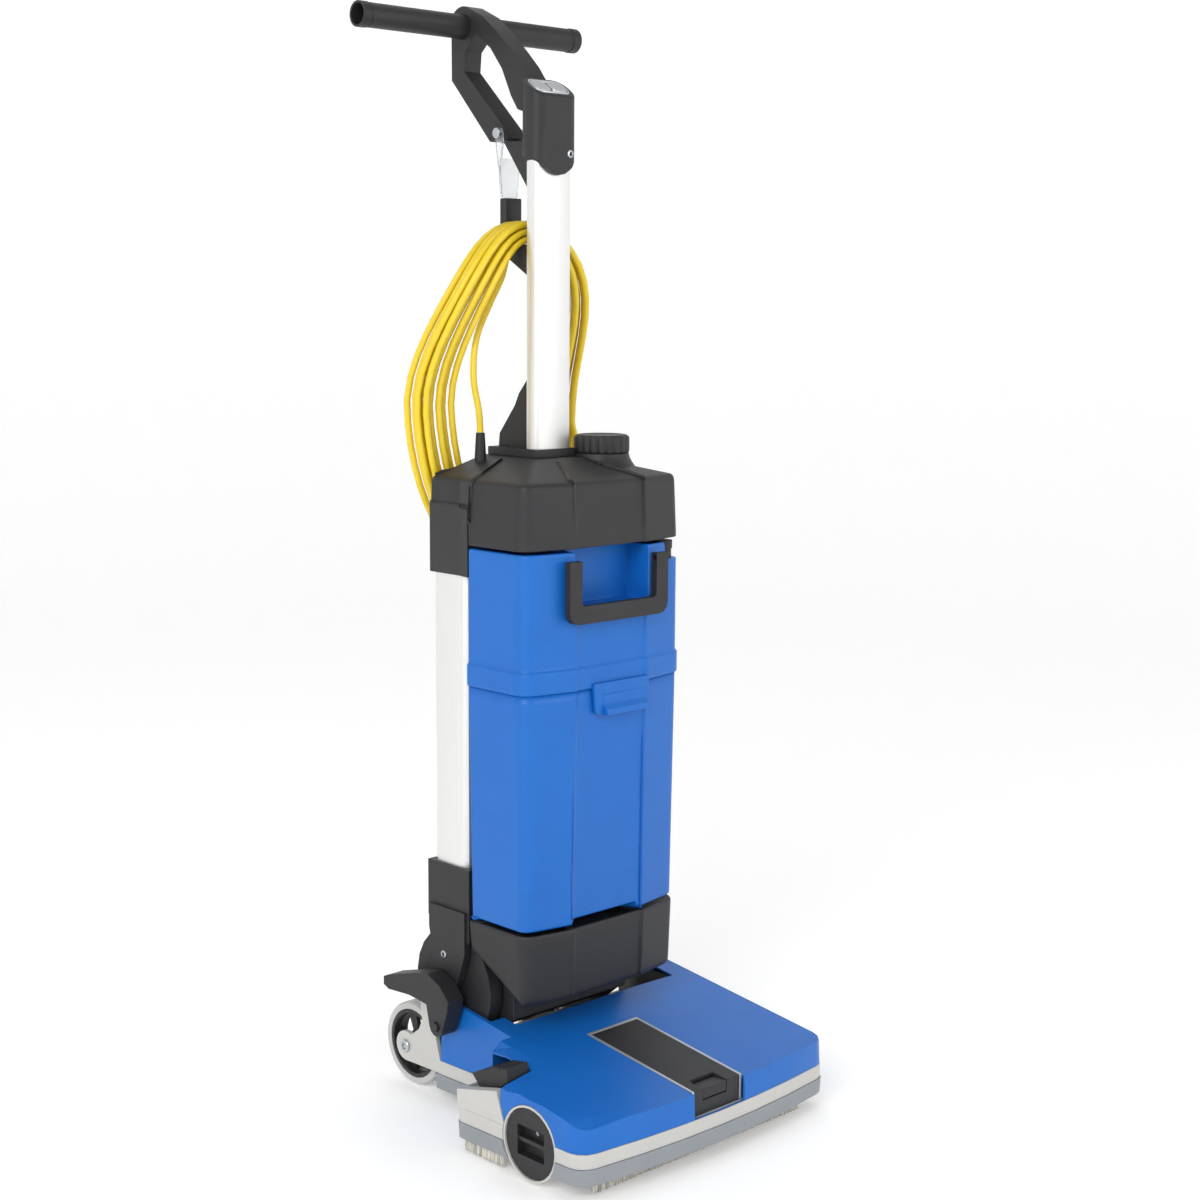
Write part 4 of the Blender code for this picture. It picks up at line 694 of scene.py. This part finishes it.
cover_wall[..., 2] = np.where(behind[None], np.maximum(cover_wall[..., 2], 0.6378), cover_wall[..., 2])
roof_top = np.stack([cover_plan[:, 0] * 0.32, 0.021 + (cover_plan[:, 1] + 0.046) * 0.575,
                     np.full(len(cover_plan), 0.6840)], -1)
rise = np.linspace(0, 1, 13)[1:, None, None]
roof = cover_wall[-1][None] * (1 - rise) + roof_top[None] * rise
cover_grid = np.vstack([cover_wall, roof])
cover_shell = walled(open_shell("cover_moulding", cover_grid, 25, closed_row=-1), 2.4)
stand_in(cover_shell, "top_cover")
print("base", base_grid.shape, "cover", cover_grid.shape)

# %% [markdown]
# Round pieces are a profile turned about an axis. The filler's neck flares down onto the roof, and its
# screw cap has twenty finger grooves: the radius is a cosine of the angle, raised to a power so that the
# grooves are narrower than the ribs between them.

# %% Filler neck and cap


def revolve(name, profile, axis, centre, around=48, wave=None, smooth=35):
    """Radius and position along the axis, turned about it. wave(angle) is taken off each radius where asked."""
    r, along, weight = np.array([(*row, 0.0)[:3] for row in profile]).T
    a = np.linspace(0, 2 * math.pi, around, endpoint=False)
    cut_in = wave(a) if wave else np.zeros(around)
    radius = np.maximum(r[:, None] - weight[:, None] * cut_in[None], 0)
    p, q, t = radius * np.cos(a), radius * np.sin(a), np.repeat(along[:, None], around, 1)
    full = np.stack({"X": (t, p, q), "Y": (p, t, q), "Z": (p, q, t)}[axis], -1) + np.asarray(centre, float)
    return bpy.data.objects.new(name, grid_mesh(name, full, smooth=smooth))


CAP_X, CAP_Y = 0.055, 0.028
neck = [(0.0405, 0.6680), (0.0385, 0.6700), (0.0345, 0.6740), (0.0312, 0.6790), (0.0292, 0.6830), (0.0285, 0.6866),
        (0.0278, 0.6870), (0.0228, 0.6870), (0.0226, 0.6700)]
extra(revolve("filler_neck", neck, "Z", (CAP_X, CAP_Y, 0)), "upright", "black_plastic")


def finger_grooves(angle):
    """Twenty narrow grooves round the cap, 1.6 mm deep."""
    return 0.0016 * (0.5 + 0.5 * np.cos(20 * angle)) ** 2.5


cap_profile = [(0.0215, 0.6690), (0.0215, 0.6873), (0.0280, 0.6873, 1), (0.0288, 0.6882, 1), (0.0290, 0.6900, 1),
               (0.0290, 0.7020, 1), (0.0286, 0.7035, 0.8), (0.0276, 0.7048, 0.4), (0.0262, 0.7056, 0),
               (0.0240, 0.7060), (0.0225, 0.7054), (0.0020, 0.7052)]
stand_in(revolve("filler_cap", cap_profile, "Z", (CAP_X, CAP_Y, 0), 240, finger_grooves), "solution_cap")

# %% [markdown]
# Under the upright's foot the deck is open. A black sheet closes it, curved about the pivot so that the
# foot can swing in it; the sheet is painted shade, standing for the shade inside the opening.

# %% Slot liner, a black sheet painting the slot's shade
# This black sheet is painted shade inside the deck's open slot.
shade_sheet_profile = np.array([(0.0070, 0.0985), (0.0072, 0.0860), (0.0110, 0.0780), (0.0200, 0.0720), (0.0350, 0.0670),
                  (0.0600, 0.0640), (0.0900, 0.0630)])
shade_sheet_x = np.array([-0.0832, -0.0828, 0.1472, 0.1476])
shade_sheet_y, shade_sheet_z = (np.repeat(column[:, None], 4, 1) for column in shade_sheet_profile.T)
shade_sheet_grid = np.stack([np.repeat(shade_sheet_x[None], len(shade_sheet_profile), 0), shade_sheet_y, shade_sheet_z], -1)
shade_sheet_grid[:, [0, 3], 2] = np.minimum(0.078 + 0.129 * (shade_sheet_profile[:, 0] + 0.190) - 0.004, 0.1000)[:, None]
shade_sheet = walled(bpy.data.objects.new("slot_shade_sheet", grid_mesh("slot_shade_sheet", shade_sheet_grid, ring=False)), 0.8)
extra(shade_sheet, "chassis", "black_plastic")

# %% [markdown]
# Dust curtains are rows of stiff nylon tufts. A strip of them is a thin wall whose lower edge is uneven:
# each tuft's length is a sum of two sines of its place along the strip, which never line up.

# %% Bristle curtains


def curtain(name, start, stop, z_low, z_high, thick):
    """A thin strip from start to stop (x, y), with tufts 2 mm wide and a ragged lower edge."""
    start, stop = np.asarray(start, float), np.asarray(stop, float)
    length = float(np.linalg.norm(stop - start))
    s = np.linspace(0, length, int(length / 0.0005))
    along = (stop - start) / length
    across = np.array([-along[1], along[0]]) * thick / 2
    gap = 0.5 + 0.5 * np.cos(2 * math.pi * s / 0.0020)
    ragged = z_low + 0.0010 * (1 + np.sin(s * 1900) * np.sin(s * 731)) + 0.0022 * gap ** 3
    line = start + along * s[:, None]
    grid = np.empty((len(s), 4, 3))
    for k, (side, z) in enumerate(((1, ragged), (1, z_high), (-1, z_high), (-1, ragged))):
        grid[:, k, :2] = line + across * side * (1 - 0.35 * gap)[:, None]
        grid[:, k, 2] = z
    return bpy.data.objects.new(name, grid_mesh(name, grid))


stand_in(curtain("front_bristles", (-0.150, -0.178), (0.150, -0.178), 0.0012, 0.0340, 0.0036), "curtain_front")
stand_in(curtain("left_bristles", (-0.1718, -0.0755), (-0.1718, -0.0185), 0.0012, 0.0340, 0.0032), "curtain_left")

# %% [markdown]
# Screw heads are small but they make a machine look assembled: a domed disc with a socket sunk in it.

# %% Screws


def screw(name, centre, axis, outwards, body, radius=0.0042):
    """A pan head whose profile goes round its rim, over the dome and down into the socket."""
    profile = [(radius, -0.0010), (radius, 0.0008), (radius * 0.92, 0.0014), (radius * 0.55, 0.0018),
               (radius * 0.50, 0.0016), (radius * 0.46, 0.0002), (0.0002, 0.0001)]
    turned_profile = [(r, t * outwards) for r, t in profile]
    return extra(revolve(name, turned_profile, axis, centre, 24), body, "zinc_steel")


screw("head_screw", (0.0165, 0.0372, 0.9905), "Y", -1, "upright")
screw("left_cheek_screw", (-0.1093, 0.0910, 0.1640), "X", -1, "upright")
screw("right_cheek_screw", (0.1093, 0.0910, 0.1640), "X", 1, "upright")
screw("cap_screw", (-0.1655, -0.1180, 0.0475), "X", -1, "end_cap", 0.0026)
screw("left_axle_cap", (-0.1113, 0.1560, 0.0455), "X", -1, "chassis", 0.0070)
screw("right_axle_cap", (0.1113, 0.1560, 0.0455), "X", 1, "chassis", 0.0070)

# %% [markdown]
# The remaining parts keep their packed outline. The radius on their edges is the one such a piece has:
# about 3 mm on the handle that a hand holds, a millimetre on covers, and half that on trim.

# %% Rounded parts
EDGE_MM = {"handle_loop": 3.2, "carry_handle": 1.8, "head": 1.2, "deck_shell": 1.1, "recline_pedal": 2.0,
           "chassis_tray": 0.7, "skirt_bumper": 0.6, "column_clamp": 1.2, "rear_housing": 1.2, "pivot_yoke": 1.0,
           "pivot_bracket_left": 1.0, "pivot_bracket_right": 1.0, "upper_hook": 1.5, "lower_hook": 1.2,
           "handle_spine": 1.2, "switch_bezel": 0.4, "rocker_left": 0.6, "rocker_right": 0.6, "duct_trim": 0.3,
           "duct_cover": 0.6, "tank_latch": 0.9, "mast": 0.4, "rear_column": 0.4, "hook_gate": 0.5}
for name in sorted(nodes):
    if name not in taken and name not in ("cord_lead", "cord_coil", "cord_tail"):
        rounded_copy(name, EDGE_MM.get(name, 0.6))
print("rounded copies:", len(taken))

# %% Finish
bpy.context.view_layer.update()
